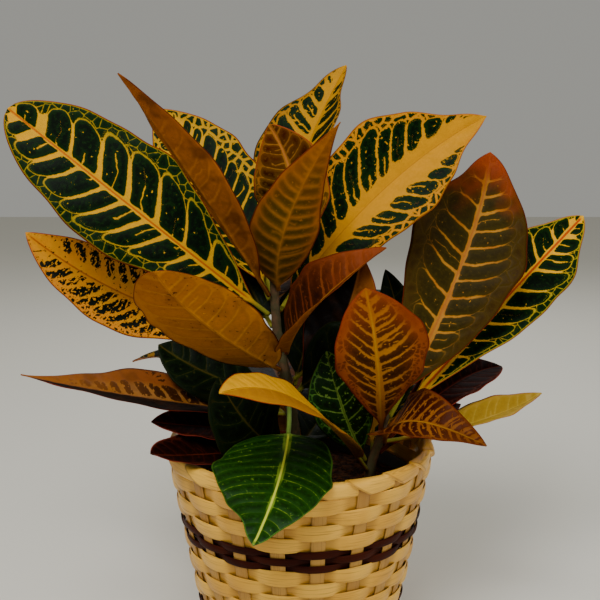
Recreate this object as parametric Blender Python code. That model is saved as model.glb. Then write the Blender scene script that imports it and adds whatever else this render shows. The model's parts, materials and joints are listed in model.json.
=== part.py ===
"""Potted croton: a variegated croton shrub in a tapered basket of plain-woven bamboo.

Sizes below are millimetres and become metres in the meshes. The origin is the centre of the
basket's underside, +Z is up, and the open, lit side of the plant looks towards -Y.
"""

from dataclasses import dataclass
from math import cos, log, pi, radians, sin

import bmesh
import bpy
from mathutils import Vector

MM = 0.001
GAP = 0.3
UP = Vector((0.0, 0.0, 1.0))

# Basket: a cone woven on upright staves. Radii are those of the outer faces.
BASKET_HEIGHT = 138.0
RIM_RADIUS = 88.5
FOOT_RADIUS = 63.0
SLOPE = (RIM_RADIUS - FOOT_RADIUS) / BASKET_HEIGHT

STAVES = 20
FIRST_STAVE = radians(-82.2)
STAVE_PITCH = 2.0 * pi / STAVES
STAVE_WIDTH = 8.7
STAVE_THICK = 1.0
STAVE_HALF_ANGLE = radians(4.0)
STAVE_DEPTH = 2.1

# Rows of weaving from the top down: how many, how tall together, and whether they are brown.
RIM_BAND = 10.8
COURSES = (
    (4, 33.4, False),
    (3, 14.5, True),
    (5, 42.5, False),
    (3, 14.5, True),
    (3, 22.3, False),
)
WEAVER_OVER = 2.0
WEAVER_UNDER = 0.7
WALL_INNER = -2.0
STAVE_BITE = 3.0

BROWN_THICK = 1.0
BROWN_SWING = 1.65
STRIP_CORNERS = ((-1, -1), (1, -1), (1, 1), (-1, 1))

RIM_STATIONS = 60
RIM_SIDES = 8
RIM_HALF_THICK = 3.0
RIM_RIDGE = 0.45
RIM_INSET = 3.2

BASE_THICK = 3.0
BASE_CHAMFER = 1.0
ROUND_STEPS = 40

# Plastic nursery pot inside the basket, and the soil in it.
POT_HEIGHT = 113.0
POT_FOOT_RADIUS = 54.0
POT_RIM_RADIUS = 75.5
POT_WALL = 1.6
POT_LIP = 2.0
POT_LIP_HEIGHT = 9.0
SOIL_TOP = 109.0
SOIL_CROWN = 4.0
SOIL_SHOULDER = 0.8
SOIL_SHOULDER_DROP = 0.3
SOIL_FLAT = 0.4
STEM_HOLE_DEPTH = 16.0
STEM_SINK = 14.0
HOLE_SIDES = 12
STEM_SIDES = 8

# Leaves.
STALK_RADIUS = 1.5
STALK_STATIONS = (0.0, 0.75)
SECTION_SIDES = 6
BLADE_THICK = 0.8
MIDRIB_THICK = 2.0
MIDRIB_SHARE = 0.1
TIP_HALF_WIDTH = 0.7
BLADE_STATIONS = (0.0, 0.1, 0.22, 0.35, 0.48, 0.61, 0.74, 0.85, 0.94, 1.0)
EDGE_WAVE = 1.3
EDGE_WAVES = 1.9
LEFT_PHASE = 0.4
RIGHT_PHASE = 2.6
SHARP_ANGLE = radians(40)

COLOURS = {
    "bamboo": (0.62, 0.42, 0.17),
    "brown": (0.09, 0.028, 0.014),
    "plastic": (0.13, 0.045, 0.025),
    "soil": (0.035, 0.02, 0.013),
    "stem": (0.17, 0.16, 0.06),
    "green": (0.02, 0.09, 0.02),
    "shade": (0.012, 0.045, 0.014),
    "yellow": (0.62, 0.4, 0.03),
    "copper": (0.36, 0.13, 0.03),
    "olive": (0.12, 0.05, 0.02),
    "orange": (0.45, 0.2, 0.04),
    "purple": (0.06, 0.013, 0.015),
}
ROUGHNESS = {"bamboo": 0.5, "brown": 0.5, "plastic": 0.45, "soil": 0.95, "stem": 0.6}
LEAF_ROUGHNESS = 0.35


@dataclass(frozen=True)
class Stem:
    """A tapering woody stem through points that rise from below the soil."""

    name: str
    points: tuple
    foot_radius: float
    top_radius: float

    def at(self, height):
        """The axis point at a height, and the radius there."""
        lows = [p for p in self.points[:-1] if p[2] <= height] or [self.points[0]]
        low = lows[-1]
        high = self.points[self.points.index(low) + 1]
        share = (height - low[2]) / (high[2] - low[2])
        rise = (height - self.points[0][2]) / (self.points[-1][2] - self.points[0][2])
        radius = self.foot_radius + (self.top_radius - self.foot_radius) * rise
        return Vector(low).lerp(Vector(high), share), radius


MAIN = Stem(
    "stem_main",
    ((-1, 9, SOIL_TOP - STEM_SINK), (-4, 7, 140), (-8, 4, 172), (-15, 2, 208), (-17, 0, 247)),
    4.6,
    2.6,
)
SIDE = Stem(
    "stem_side",
    ((43, -1, SOIL_TOP - STEM_SINK), (48, -4, 126), (53, -7, 141), (56, -8, 158)),
    3.8,
    2.4,
)


@dataclass(frozen=True)
class Leaf:
    """One leaf: stalk and blade along a curve from its stem to its tip.

    bend is how far the curve's middle stands off the straight line from root to tip, and face is
    the way the upper side looks. fold lifts both halves off the midrib, belly is where along the
    blade it is widest, and stalk is the bare share of the midline.
    """

    name: str
    stem: Stem
    height: float
    tip: tuple
    bend: tuple
    width: float
    face: tuple
    colour: str
    fold: float = 12.0
    belly: float = 0.5
    base_fullness: float = 0.9
    tip_fullness: float = 0.8
    stalk: float = 0.08

    def curve(self):
        """Root, control point and tip of the leaf's midline."""
        centre, radius = self.stem.at(self.height)
        tip = Vector(self.tip)
        middle = (centre + tip) / 2 + Vector(self.bend)
        start = (2 * middle - (centre + tip) / 2 - centre).normalized()
        outward = Vector((tip.x - centre.x, tip.y - centre.y, 0.0)).normalized()
        root = centre + outward * (radius + 2 * GAP + STALK_RADIUS * abs(start.z))
        control = (root + tip) / 2 + 2 * Vector(self.bend)
        return root, control, tip

    def half_width(self, along):
        """Half the blade's width at a share of its length."""
        swell = max(sin(pi * along ** (log(0.5) / log(self.belly))), 0.0)
        fullness = self.base_fullness if along < self.belly else self.tip_fullness
        return max(0.5 * self.width * swell**fullness, TIP_HALF_WIDTH)

    def frame(self, share, root, control, tip):
        """Point, direction across the blade and upper-side normal at a share of the midline."""
        point = root * (1 - share) ** 2 + control * (2 * share * (1 - share)) + tip * share**2
        ahead = ((control - root) * (1 - share) + (tip - control) * share).normalized()
        face = Vector(self.face)
        normal = (face - ahead * face.dot(ahead)).normalized()
        return point, ahead.cross(normal), normal

    def edge(self, along, side, phase):
        """How far one edge of the blade lies across and above the midrib."""
        half = self.half_width(along)
        wave = EDGE_WAVE * sin(2 * pi * EDGE_WAVES * along + phase) * sin(pi * along)
        fold = radians(self.fold)
        return side * half * cos(fold), half * sin(fold) + wave

    def sections(self):
        """Six-sided rings of points from the root to the tip."""
        curve = self.curve()
        rings = []
        for station in STALK_STATIONS:
            point, across, normal = self.frame(self.stalk * station, *curve)
            turns = [radians(150 - 60 * k) for k in range(SECTION_SIDES)]
            rings.append(
                [point + (across * cos(a) + normal * sin(a)) * STALK_RADIUS for a in turns]
            )
        for along in BLADE_STATIONS:
            point, across, normal = self.frame(self.stalk + (1 - self.stalk) * along, *curve)
            thick = BLADE_THICK / 2
            crest = min(MIDRIB_THICK / 2, thick + self.half_width(along) * MIDRIB_SHARE)
            reach, lift = self.edge(along, -1, LEFT_PHASE)
            left = point + across * reach + normal * lift
            reach, lift = self.edge(along, 1, RIGHT_PHASE)
            right = point + across * reach + normal * lift
            upper = (left + normal * thick, point + normal * thick, right + normal * thick)
            lower = (right - normal * thick, point - normal * crest, left - normal * thick)
            rings.append([*upper, *lower])
        return rings


LEAVES = (
    # The crown of the main stem, from the top down.
    Leaf(
        "purple_tip", MAIN, 244, (-19, -10, 341), (15, 5, 0), 50, (-0.2, -1, 0.2), "purple",
        fold=16, belly=0.6,
    ),
    Leaf(
        "top_yellow", MAIN, 241, (32, 75, 381), (-10, 4, -2), 74, (-0.75, -0.75, 0.1), "yellow",
        fold=22,
    ),
    Leaf(
        "copper_front", MAIN, 237, (23, -50, 342), (-12, -3, -5), 42, (0.1, 0.75, 0.6), "copper",
        stalk=0.04, belly=0.4, tip_fullness=1.1,
    ),
    Leaf(
        "copper_spear", MAIN, 233, (-99, -70, 368), (3, -4, 0), 44, (0.35, 0.3, 0.8), "copper",
        fold=18,
    ),
    Leaf("tall_left", MAIN, 229, (-100, 66, 351), (6, 3, 4), 66, (0.1, -1, 0.35), "green"),
    Leaf(
        "broad_right", MAIN, 225, (121, 28, 346), (-1, 7, 13), 74, (-0.1, -1, 0.3), "yellow",
        fold=14, stalk=0.04, belly=0.46,
    ),
    Leaf(
        "broad_left", MAIN, 220, (-187, 20, 351), (-2, 0, 1), 75, (0.15, -1, 0.25), "green",
        fold=4, stalk=0.05, belly=0.54, tip_fullness=0.66,
    ),
    Leaf("spotted_left", MAIN, 205, (-193, 66, 266), (-8, 9, -13), 55, (0.1, -1, 0.5), "yellow"),
    Leaf(
        "copper_centre", MAIN, 195, (51, -42, 269), (-12, -17, 1), 46, (-0.5, -0.4, 0.6), "copper",
        fold=34, stalk=0.04,
    ),
    Leaf(
        "copper_left", MAIN, 184, (-79, -88, 262), (-10, -8, 3), 62, (0.15, 0.9, 0.5), "copper",
        stalk=0.04, tip_fullness=0.5, fold=4,
    ),
    Leaf("bronze_behind", MAIN, 176, (41, 22, 255), (7, 0, -9), 50, (-0.3, -0.8, 0.4), "shade"),
    Leaf(
        "green_front", MAIN, 160, (-25, -126, 120), (6, -10, 5), 70, (0.0, -0.5, 0.9), "green",
        fold=3, stalk=0.27, belly=0.42, base_fullness=0.55, tip_fullness=0.95,
    ),
    Leaf("shade_left", MAIN, 162, (-92, 2, 200), (-5, -4, -1), 46, (0.2, -0.7, 0.7), "shade"),
    Leaf(
        "long_left", MAIN, 152, (-171, -36, 190), (-7, -14, 3), 42, (0.05, -0.3, 0.95), "copper",
        belly=0.4, tip_fullness=1.5,
    ),
    Leaf(
        "small_left_high", MAIN, 139, (-93, -30, 158), (-6, -5, 2), 34, (0.0, -0.4, 0.9), "purple",
    ),
    Leaf(
        "small_left_low", MAIN, 130, (-88, -66, 150), (-13, -8, 0), 34, (0.0, -0.4, 0.9), "purple",
    ),
    Leaf("shade_front", MAIN, 124, (-50, -34, 188), (-3, -17, 0), 52, (0.25, -0.9, 0.5), "shade"),
    # The side stem.
    Leaf(
        "olive_right", SIDE, 153, (131, 62, 322), (14, 3, 12), 78, (0.0, -1, 0.3), "olive",
        fold=8,
    ),
    Leaf("green_right", SIDE, 146, (204, 84, 276), (9, 8, 8), 56, (-0.2, -1, 0.4), "green"),
    Leaf(
        "orange_upright", SIDE, 144, (38, -55, 247), (1, -19, 6), 57, (0.1, -1, 0.1), "orange",
        fold=8, stalk=0.05,
    ),
    Leaf("dark_behind", SIDE, 140, (58, 38, 244), (11, 3, 0), 34, (-0.2, -1, 0.2), "shade"),
    Leaf(
        "orange_arch", SIDE, 138, (109, -70, 156), (-14, -7, 17), 46, (0.0, -0.6, 0.8), "orange",
        fold=20, belly=0.36,
    ),
    Leaf(
        "yellow_right", SIDE, 137, (158, 0, 168), (8, -1, -3), 34, (0.0, -0.15, 1), "yellow",
        fold=20,
    ),
    Leaf("dark_right", SIDE, 134, (142, 50, 173), (5, 1, 13), 42, (0.0, -0.3, 0.95), "purple"),
    Leaf("speckled_inner", SIDE, 124, (17, -8, 198), (-3, -14, 3), 40, (-0.2, -1, 0.3), "shade"),
    Leaf(
        "yellow_arch", SIDE, 118, (-43, -112, 200), (-1, -12, 25), 46, (0.1, -0.3, 0.9), "yellow",
    ),
    # The side away from the light.
    Leaf("back_high_left", MAIN, 231, (-52, 108, 318), (-6, 8, 12), 62, (0.2, -0.5, 0.8), "green"),
    Leaf("back_high_right", MAIN, 222, (78, 112, 296), (2, 6, 16), 60, (-0.2, -0.3, 0.9), "green"),
    Leaf("crown_inner", MAIN, 211, (-50, 46, 266), (-4, 4, 4), 46, (0.2, -0.9, 0.5), "shade"),
    Leaf("back_middle", MAIN, 207, (-28, 128, 236), (0, 6, 16), 56, (0.0, -0.3, 0.9), "orange"),
    Leaf("back_left", MAIN, 189, (-104, 110, 214), (-6, 8, 10), 56, (0.2, -0.3, 0.9), "yellow"),
    Leaf("back_right", MAIN, 163, (96, 104, 214), (-4, 10, 14), 54, (-0.2, -0.3, 0.9), "shade"),
    Leaf("inner_right", MAIN, 167, (46, -2, 214), (0, -4, 2), 42, (-0.2, -0.8, 0.6), "shade"),
    Leaf("dark_centre", MAIN, 171, (32, 36, 250), (-4, 3, 0), 44, (-0.1, -1, 0.3), "shade"),
    Leaf("dark_low", MAIN, 127, (20, 76, 156), (6, 4, -2), 46, (0.0, -1, 0.6), "shade"),
    Leaf("back_low_left", MAIN, 150, (-124, 84, 168), (-4, 6, 16), 52, (0.1, -0.1, 1), "green"),
    Leaf("back_low", MAIN, 142, (-34, 124, 148), (0, 4, 22), 50, (0.0, 0.0, 1), "copper"),
    Leaf("left_low", MAIN, 134, (-130, 34, 160), (-4, 4, 10), 44, (0.0, -0.1, 1), "olive"),
    Leaf("dark_low_right", SIDE, 128, (112, 38, 149), (2, 3, 4), 28, (0.0, -0.2, 1), "purple"),
    Leaf("back_low_right", SIDE, 132, (108, 98, 150), (-2, 4, 22), 48, (0.0, 0.0, 1), "green"),
    Leaf("back_small", SIDE, 126, (52, 102, 146), (0, -4, 12), 40, (0.0, 0.0, 1), "yellow"),
)


def new_object(name, mesh_builder, colour):
    """A mesh object with its own material, its faces pointing out, smooth but for its edges."""
    mesh_builder.normal_update()
    bmesh.ops.recalc_face_normals(mesh_builder, faces=mesh_builder.faces)
    mesh = bpy.data.meshes.new(name)
    mesh_builder.to_mesh(mesh)
    mesh_builder.free()
    mesh.materials.append(material(name, colour))
    mesh.shade_smooth()
    mesh.set_sharp_from_angle(angle=SHARP_ANGLE)
    obj = bpy.data.objects.new(name, mesh)
    bpy.context.scene.collection.objects.link(obj)
    return obj


def material(name, colour):
    """A Principled material in one of the part's colours."""
    made = bpy.data.materials.new(name)
    made.use_nodes = True
    shader = made.node_tree.nodes["Principled BSDF"]
    shader.inputs["Base Color"].default_value = (*COLOURS[colour], 1.0)
    shader.inputs["Roughness"].default_value = ROUGHNESS.get(colour, LEAF_ROUGHNESS)
    shader.inputs["Metallic"].default_value = 0.0
    return made


def skin(rings, closed_way):
    """Triangles between rings of points. A closed way joins the last ring to the first, an open
    one is capped, and every pair of triangles is split the same way."""
    bm = bmesh.new()
    loops = [[bm.verts.new(Vector(p) * MM) for p in ring] for ring in rings]
    sides = len(loops[0])
    spans = len(loops) if closed_way else len(loops) - 1
    for i in range(spans):
        low = loops[i]
        high = loops[(i + 1) % len(loops)]
        for k in range(sides):
            after = (k + 1) % sides
            bm.faces.new((low[k], low[after], high[after]))
            bm.faces.new((low[k], high[after], high[k]))
    if not closed_way:
        bm.faces.new(loops[0])
        bm.faces.new(loops[-1])
    return bm


def blade_skin(rings):
    """Like skin, for a leaf: the quads of the under side are split as those above them are."""
    bm = bmesh.new()
    loops = [[bm.verts.new(Vector(p) * MM) for p in ring] for ring in rings]
    for low, high in zip(loops, loops[1:]):
        for k in range(SECTION_SIDES):
            after = (k + 1) % SECTION_SIDES
            if k < SECTION_SIDES // 2:
                bm.faces.new((low[k], low[after], high[after]))
                bm.faces.new((low[k], high[after], high[k]))
            else:
                bm.faces.new((low[k], low[after], high[k]))
                bm.faces.new((low[after], high[after], high[k]))
    bm.faces.new(loops[0])
    bm.faces.new(loops[-1])
    return bm


def turned(profile):
    """A solid of revolution from (radius, height) points that start and end on the axis."""
    bm = bmesh.new()
    points = [bm.verts.new(Vector((r, 0.0, z)) * MM) for r, z in profile]
    edges = [bm.edges.new(pair) for pair in zip(points, points[1:])]
    bmesh.ops.spin(
        bm,
        geom=points + edges,
        cent=(0, 0, 0),
        axis=(0, 0, 1),
        angle=2 * pi,
        steps=ROUND_STEPS,
        use_merge=True,
        use_duplicate=False,
    )
    bmesh.ops.remove_doubles(bm, verts=bm.verts, dist=0.01 * MM)
    return bm


def boolean(target, cutter, operation):
    """Applies one Boolean and removes its other object."""
    modifier = target.modifiers.new(operation.title(), "BOOLEAN")
    modifier.operation = operation
    modifier.solver = "MANIFOLD"
    modifier.object = cutter
    bpy.context.view_layer.update()
    graph = bpy.context.evaluated_depsgraph_get()
    finished = bpy.data.meshes.new_from_object(target.evaluated_get(graph))
    target.modifiers.clear()
    target.data = finished
    bpy.data.objects.remove(cutter)


def stave_radius(height):
    """Radius of the middle of the staves' thickness at a height."""
    return FOOT_RADIUS + SLOPE * height - STAVE_DEPTH


def stave_columns():
    """Angle and stave number of both edges of every stave, all round."""
    return [
        (FIRST_STAVE + k * STAVE_PITCH + side * STAVE_HALF_ANGLE, k)
        for k in range(STAVES)
        for side in (-1, 1)
    ]


def round_point(radius, angle, height):
    return Vector((radius * cos(angle), radius * sin(angle), height))


def woven_section(top, rows, tall, first_row):
    """A closed ring of natural weaving: every row stands out over alternate staves."""
    pitch = tall / rows
    columns = stave_columns()
    rings = []
    for row in range(rows):
        edge = top - row * pitch
        middle = edge - pitch / 2
        rings.append([round_point(stave_radius(edge) + WEAVER_UNDER, a, edge) for a, _ in columns])
        outs = [WEAVER_UNDER if (first_row + row + k) % 2 else WEAVER_OVER for _, k in columns]
        rings.append(
            [round_point(stave_radius(middle) + o, a, middle) for (a, _), o in zip(columns, outs)]
        )
    low = top - tall
    rings.append([round_point(stave_radius(low) + WEAVER_UNDER, a, low) for a, _ in columns])
    for height in (low, top):
        rings.append([round_point(stave_radius(height) + WALL_INNER, a, height) for a, _ in columns])
    return skin(rings, closed_way=True)


def brown_ring(middle, tall, row):
    """One brown weaver that passes outside and inside the staves in turn, clear of them."""
    half = (tall - GAP) / 2
    rings = []
    for angle, k in stave_columns():
        swing = -BROWN_SWING if (row + k) % 2 else BROWN_SWING
        ring = []
        for r, z in STRIP_CORNERS:
            height = middle + z * half
            radius = stave_radius(height) + swing + r * BROWN_THICK / 2
            ring.append(round_point(radius, angle, height))
        rings.append(ring)
    return skin(rings, closed_way=True)


def stave_piece(number, low, high):
    """A straight length of one stave between two heights."""
    angle = FIRST_STAVE + number * STAVE_PITCH
    out = Vector((cos(angle), sin(angle), 0.0))
    along = Vector((-sin(angle), cos(angle), 0.0))
    rings = []
    for height in (low, high):
        centre = out * stave_radius(height) + UP * height
        width = along * (STAVE_WIDTH / 2)
        thick = out * (STAVE_THICK / 2)
        rings.append([centre + width * w + thick * t for w, t in STRIP_CORNERS])
    return skin(rings, closed_way=False)


def make_basket():
    """The woven wall in one body with its staves, the brown weavers, the border and the base."""
    top = BASKET_HEIGHT - RIM_BAND
    row = 0
    sections = []
    staves = []
    for number, (rows, tall, brown) in enumerate(COURSES):
        if brown:
            pitch = tall / rows
            for k in range(rows):
                middle = top - (k + 0.5) * pitch
                name = f"brown_weaver_{'upper' if number == 1 else 'lower'}_{k + 1}"
                new_object(name, brown_ring(middle, pitch, row + k), "brown")
            for stave in range(STAVES):
                piece = stave_piece(stave, top - tall - STAVE_BITE, top + STAVE_BITE)
                staves.append(new_object("stave", piece, "bamboo"))
        else:
            sections.append(new_object("section", woven_section(top, rows, tall, row), "bamboo"))
        row += rows
        top -= tall
    wall = sections[0]
    wall.name = "basket_wall"
    for piece in sections[1:] + staves:
        boolean(wall, piece, "UNION")

    make_border()
    base_radius = stave_radius(0) + WALL_INNER - GAP
    profile = (
        (0, 0),
        (base_radius - BASE_CHAMFER, 0),
        (base_radius, BASE_CHAMFER),
        (base_radius, BASE_THICK),
        (0, BASE_THICK),
    )
    new_object("basket_base", turned(profile), "bamboo")


def make_border():
    """The basket's border, a ring with a shallow slanting ridge over every stave."""
    rings = []
    centre_height = BASKET_HEIGHT - RIM_BAND / 2 + GAP / 2
    centre_radius = FOOT_RADIUS + SLOPE * centre_height - RIM_INSET
    for k in range(RIM_STATIONS):
        angle = 2 * pi * k / RIM_STATIONS
        ring = []
        for side in range(RIM_SIDES):
            turn = 2 * pi * side / RIM_SIDES
            ridge = RIM_RIDGE * cos(STAVES * angle - turn)
            reach = RIM_HALF_THICK + ridge
            rise = (RIM_BAND - GAP) / 2 * sin(turn)
            ring.append(round_point(centre_radius + reach * cos(turn), angle, centre_height + rise))
        rings.append(ring)
    new_object("basket_rim", skin(rings, closed_way=True), "bamboo")


def make_pot_and_soil():
    """The nursery pot and the soil in it, with a plain hole for each stem."""
    foot = BASE_THICK + GAP
    lip = POT_HEIGHT - POT_LIP_HEIGHT
    flare = (POT_RIM_RADIUS - POT_LIP - POT_FOOT_RADIUS) / (POT_HEIGHT - foot)
    neck = POT_FOOT_RADIUS + flare * (lip - foot)
    profile = (
        (0, foot),
        (POT_FOOT_RADIUS, foot),
        (neck, lip),
        (neck + POT_LIP, lip),
        (POT_RIM_RADIUS, POT_HEIGHT),
        (POT_RIM_RADIUS - POT_WALL, POT_HEIGHT),
        (POT_FOOT_RADIUS - POT_WALL, foot + POT_WALL),
        (0, foot + POT_WALL),
    )
    new_object("nursery_pot", turned(profile), "plastic")

    inner_rise = (POT_RIM_RADIUS - POT_FOOT_RADIUS) / (POT_HEIGHT - foot - POT_WALL)
    inner_foot = foot + POT_WALL + GAP
    inner = POT_FOOT_RADIUS - POT_WALL - 2 * GAP
    edge = inner + inner_rise * (SOIL_TOP - SOIL_CROWN - inner_foot)
    soil_profile = (
        (0, inner_foot),
        (inner, inner_foot),
        (edge, SOIL_TOP - SOIL_CROWN),
        (edge * SOIL_SHOULDER, SOIL_TOP - SOIL_CROWN * SOIL_SHOULDER_DROP),
        (edge * SOIL_FLAT, SOIL_TOP),
        (0, SOIL_TOP),
    )
    soil = new_object("soil", turned(soil_profile), "soil")
    for stem in (MAIN, SIDE):
        wide = stem.foot_radius + 2 * GAP
        heights = (SOIL_TOP - STEM_HOLE_DEPTH, SOIL_TOP + STEM_HOLE_DEPTH)
        rings = [round_ring(stem.at(height)[0], wide, HOLE_SIDES) for height in heights]
        hole = new_object("hole", skin(rings, closed_way=False), "soil")
        boolean(soil, hole, "DIFFERENCE")


def round_ring(centre, radius, sides):
    """A level ring of points round a centre."""
    return [centre + round_point(radius, 2 * pi * k / sides, 0) for k in range(sides)]


def make_stem(stem):
    """A round stem through its points, with two rings between each pair."""
    heights = []
    for low, high in zip(stem.points, stem.points[1:]):
        heights += [low[2], (low[2] + high[2]) / 2]
    heights.append(stem.points[-1][2])
    rings = [round_ring(*stem.at(height), STEM_SIDES) for height in heights]
    new_object(stem.name, skin(rings, closed_way=False), "stem")


def main():
    for obj in list(bpy.data.objects):
        bpy.data.objects.remove(obj)
    make_basket()
    make_pot_and_soil()
    for stem in (MAIN, SIDE):
        make_stem(stem)
    for leaf in LEAVES:
        new_object("leaf_" + leaf.name, blade_skin(leaf.sections()), leaf.colour)


main()
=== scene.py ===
"""Looks of the potted croton: veined and variegated leaves, stems, potting mix and woven basket.

Lengths in the classes below are millimetres and become metres in the meshes. The frame gives
where each piece stands, and every piece made here stands for a solid of that frame.
"""

from __future__ import annotations

import ast
import json
import logging
from dataclasses import dataclass, replace
from enum import Enum
from math import cos, log, pi, radians, sin, tan

import bmesh
import bpy
import numpy as np
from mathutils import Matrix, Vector

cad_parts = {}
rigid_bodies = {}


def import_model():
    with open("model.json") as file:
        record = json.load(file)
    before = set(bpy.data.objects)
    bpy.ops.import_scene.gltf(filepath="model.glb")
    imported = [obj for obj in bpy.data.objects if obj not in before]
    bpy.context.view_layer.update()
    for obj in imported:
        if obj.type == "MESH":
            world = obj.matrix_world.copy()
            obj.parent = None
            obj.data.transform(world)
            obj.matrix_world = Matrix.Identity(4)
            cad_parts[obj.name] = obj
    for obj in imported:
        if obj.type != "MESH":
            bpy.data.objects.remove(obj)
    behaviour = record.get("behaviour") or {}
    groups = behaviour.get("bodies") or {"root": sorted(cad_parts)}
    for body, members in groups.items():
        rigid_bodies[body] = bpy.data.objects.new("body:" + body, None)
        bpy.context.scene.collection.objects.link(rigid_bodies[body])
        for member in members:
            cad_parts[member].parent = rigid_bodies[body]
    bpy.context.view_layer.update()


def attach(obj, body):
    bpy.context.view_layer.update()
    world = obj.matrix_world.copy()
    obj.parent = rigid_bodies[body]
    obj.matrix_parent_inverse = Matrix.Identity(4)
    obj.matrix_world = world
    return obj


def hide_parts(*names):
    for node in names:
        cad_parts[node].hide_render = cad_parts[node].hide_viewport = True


LOG = logging.getLogger("croton")
MM = 0.001

Socket = bpy.types.NodeSocket
Material = bpy.types.Material
Mesh = bpy.types.Mesh
Object = bpy.types.Object

BINARY = {
    ast.Add: "ADD", ast.Sub: "SUBTRACT", ast.Mult: "MULTIPLY", ast.Div: "DIVIDE", ast.Pow: "POWER",
}
CALLS = {
    "abs": "ABSOLUTE", "min": "MINIMUM", "max": "MAXIMUM", "sin": "SINE", "cos": "COSINE",
    "floor": "FLOOR", "fract": "FRACT", "sqrt": "SQRT", "above": "GREATER_THAN",
}


def linear(colour: str) -> tuple[float, float, float, float]:
    """Turns an sRGB hex colour to linear.

    Args:
        colour: six hex digits after a hash.

    Returns:
        Red, green, blue and an alpha of 1.
    """
    shares = [int(colour[k : k + 2], 16) / 255 for k in (1, 3, 5)]
    parts = [c / 12.92 if c <= 0.04045 else ((c + 0.055) / 1.055) ** 2.4 for c in shares]
    return (*parts, 1.0)


class Recipe:
    """A node tree under construction, with values known by name and formulas over them.

    A formula is a text of sums, names, numbers, quoted hex colours, three parts in brackets for
    a vector, the calls in CALLS, step(x, low, high), which is a smooth step, and
    lay(share, under, over), which lays one colour over another.
    """

    def __init__(self, tree: bpy.types.NodeTree, **known: Socket | float | str) -> None:
        """Starts with what is known from the outset."""
        self.tree = tree
        self.known = known

    def node(
        self, kind: str, *inputs: object, out: int | tuple = 0, **settings: object
    ) -> Socket | list[Socket] | None:
        """Adds one node with its settings and links.

        Args:
            kind: the node's type name.
            inputs: sockets or values for the first inputs in order, None to leave one alone, or
                pairs of an input's name or number and its value. Hex colours become linear.
            out: which output to return, or several of them.
            settings: the node's own properties.

        Returns:
            The chosen output socket, or a list where several are asked for, or None from a node
            that has no outputs.
        """
        node = self.tree.nodes.new(kind)
        for name, value in settings.items():
            setattr(node, name, value)
        for number, given in enumerate(inputs):
            named = isinstance(given, tuple) and len(given) == 2
            socket = node.inputs[given[0]] if named else node.inputs[number]
            value = given[1] if named else given
            if isinstance(value, Socket):
                self.tree.links.new(value, socket)
            elif value is not None:
                coloured = isinstance(value, str) and value.startswith("#")
                socket.default_value = linear(value) if coloured else value
        if isinstance(out, tuple):
            return [node.outputs[k] for k in out]
        return node.outputs[out] if len(node.outputs) else None

    def walk(self, part: ast.expr) -> Socket | float | str:
        """Works out one part of a formula.

        Args:
            part: the part, from Python's own parser.

        Returns:
            A socket, or the number or colour that the part names.
        """
        if isinstance(part, ast.Constant):
            return part.value if isinstance(part.value, str) else float(part.value)
        if isinstance(part, ast.Name):
            return self.known[part.id]
        if isinstance(part, ast.UnaryOp):
            return -self.walk(part.operand)
        if isinstance(part, ast.BinOp):
            sides = [self.walk(part.left), self.walk(part.right)]
            return self.node("ShaderNodeMath", *sides, operation=BINARY[type(part.op)])
        if isinstance(part, ast.Tuple):
            return self.node("ShaderNodeCombineXYZ", *map(self.walk, part.elts))
        given = [self.walk(argument) for argument in part.args]
        if part.func.id == "step":
            return self.node("ShaderNodeMapRange", *given, interpolation_type="SMOOTHSTEP")
        if part.func.id == "lay":
            share, under, over = given
            pair = [(6, under), (7, over)]
            return self.node("ShaderNodeMix", share, *pair, out=2, data_type="RGBA")
        return self.node("ShaderNodeMath", *given, operation=CALLS[part.func.id])

    def __call__(self, text: str) -> Socket | float:
        """What a formula gives."""
        return self.walk(ast.parse(text).body[0].value)

    def __setitem__(self, names: str, given: Socket | str) -> None:
        """Keeps a socket or a formula's result by name.

        Args:
            names: the name, or three with spaces between for the parts of a vector.
            given: the socket, or the formula.
        """
        value = self(given) if isinstance(given, str) else given
        several = names.split()
        if len(several) == 3:
            self.known.update(zip(several, self.node("ShaderNodeSeparateXYZ", value, out=(0, 1, 2))))
        else:
            self.known[names] = value


class Paint(Recipe):
    """A material under construction."""

    def __init__(self, name: str, **known: float | str) -> None:
        """Starts an empty node material.

        Args:
            name: the material's name.
            known: the finish's sizes, shares and colours, for formulas to use.
        """
        self.material = bpy.data.materials.new(name)
        self.material.use_nodes = True
        self.material.node_tree.nodes.clear()
        super().__init__(self.material.node_tree, **known)

    def close(
        self, colour: Socket | str, rough: Socket | float, relief: tuple = (), **fixed: float
    ) -> Material:
        """Ends the tree in a Principled shader.

        Args:
            colour: base colour, a socket or a hex colour.
            rough: roughness, a socket or a number.
            relief: strength, depth in metres and height of the skin's bumps, if it has any.
            fixed: constants for the shader's other inputs, with _ for spaces.

        Returns:
            The finished material.
        """
        given = [("Base Color", colour), ("Roughness", rough)]
        if relief:
            settings = zip(("Strength", "Distance", "Height"), relief)
            given.append(("Normal", self.node("ShaderNodeBump", *settings)))
        given += [(name.replace("_", " "), value) for name, value in fixed.items()]
        self.node("ShaderNodeOutputMaterial", self.node("ShaderNodeBsdfPrincipled", *given))
        return self.material


def new_piece(name: str, mesh: Mesh, node: str) -> Object:
    """Puts a finished mesh in the scene as a piece that stands for a solid of the frame.

    Args:
        name: the piece's name.
        mesh: its mesh, already in place.
        node: the frame's node that it replaces.

    Returns:
        The new object.
    """
    piece = bpy.data.objects.new(name, mesh)
    bpy.context.scene.collection.objects.link(piece)
    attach(piece, "root")
    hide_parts(node)
    LOG.info("%s: %d faces", name, len(mesh.polygons))
    return piece


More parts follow.
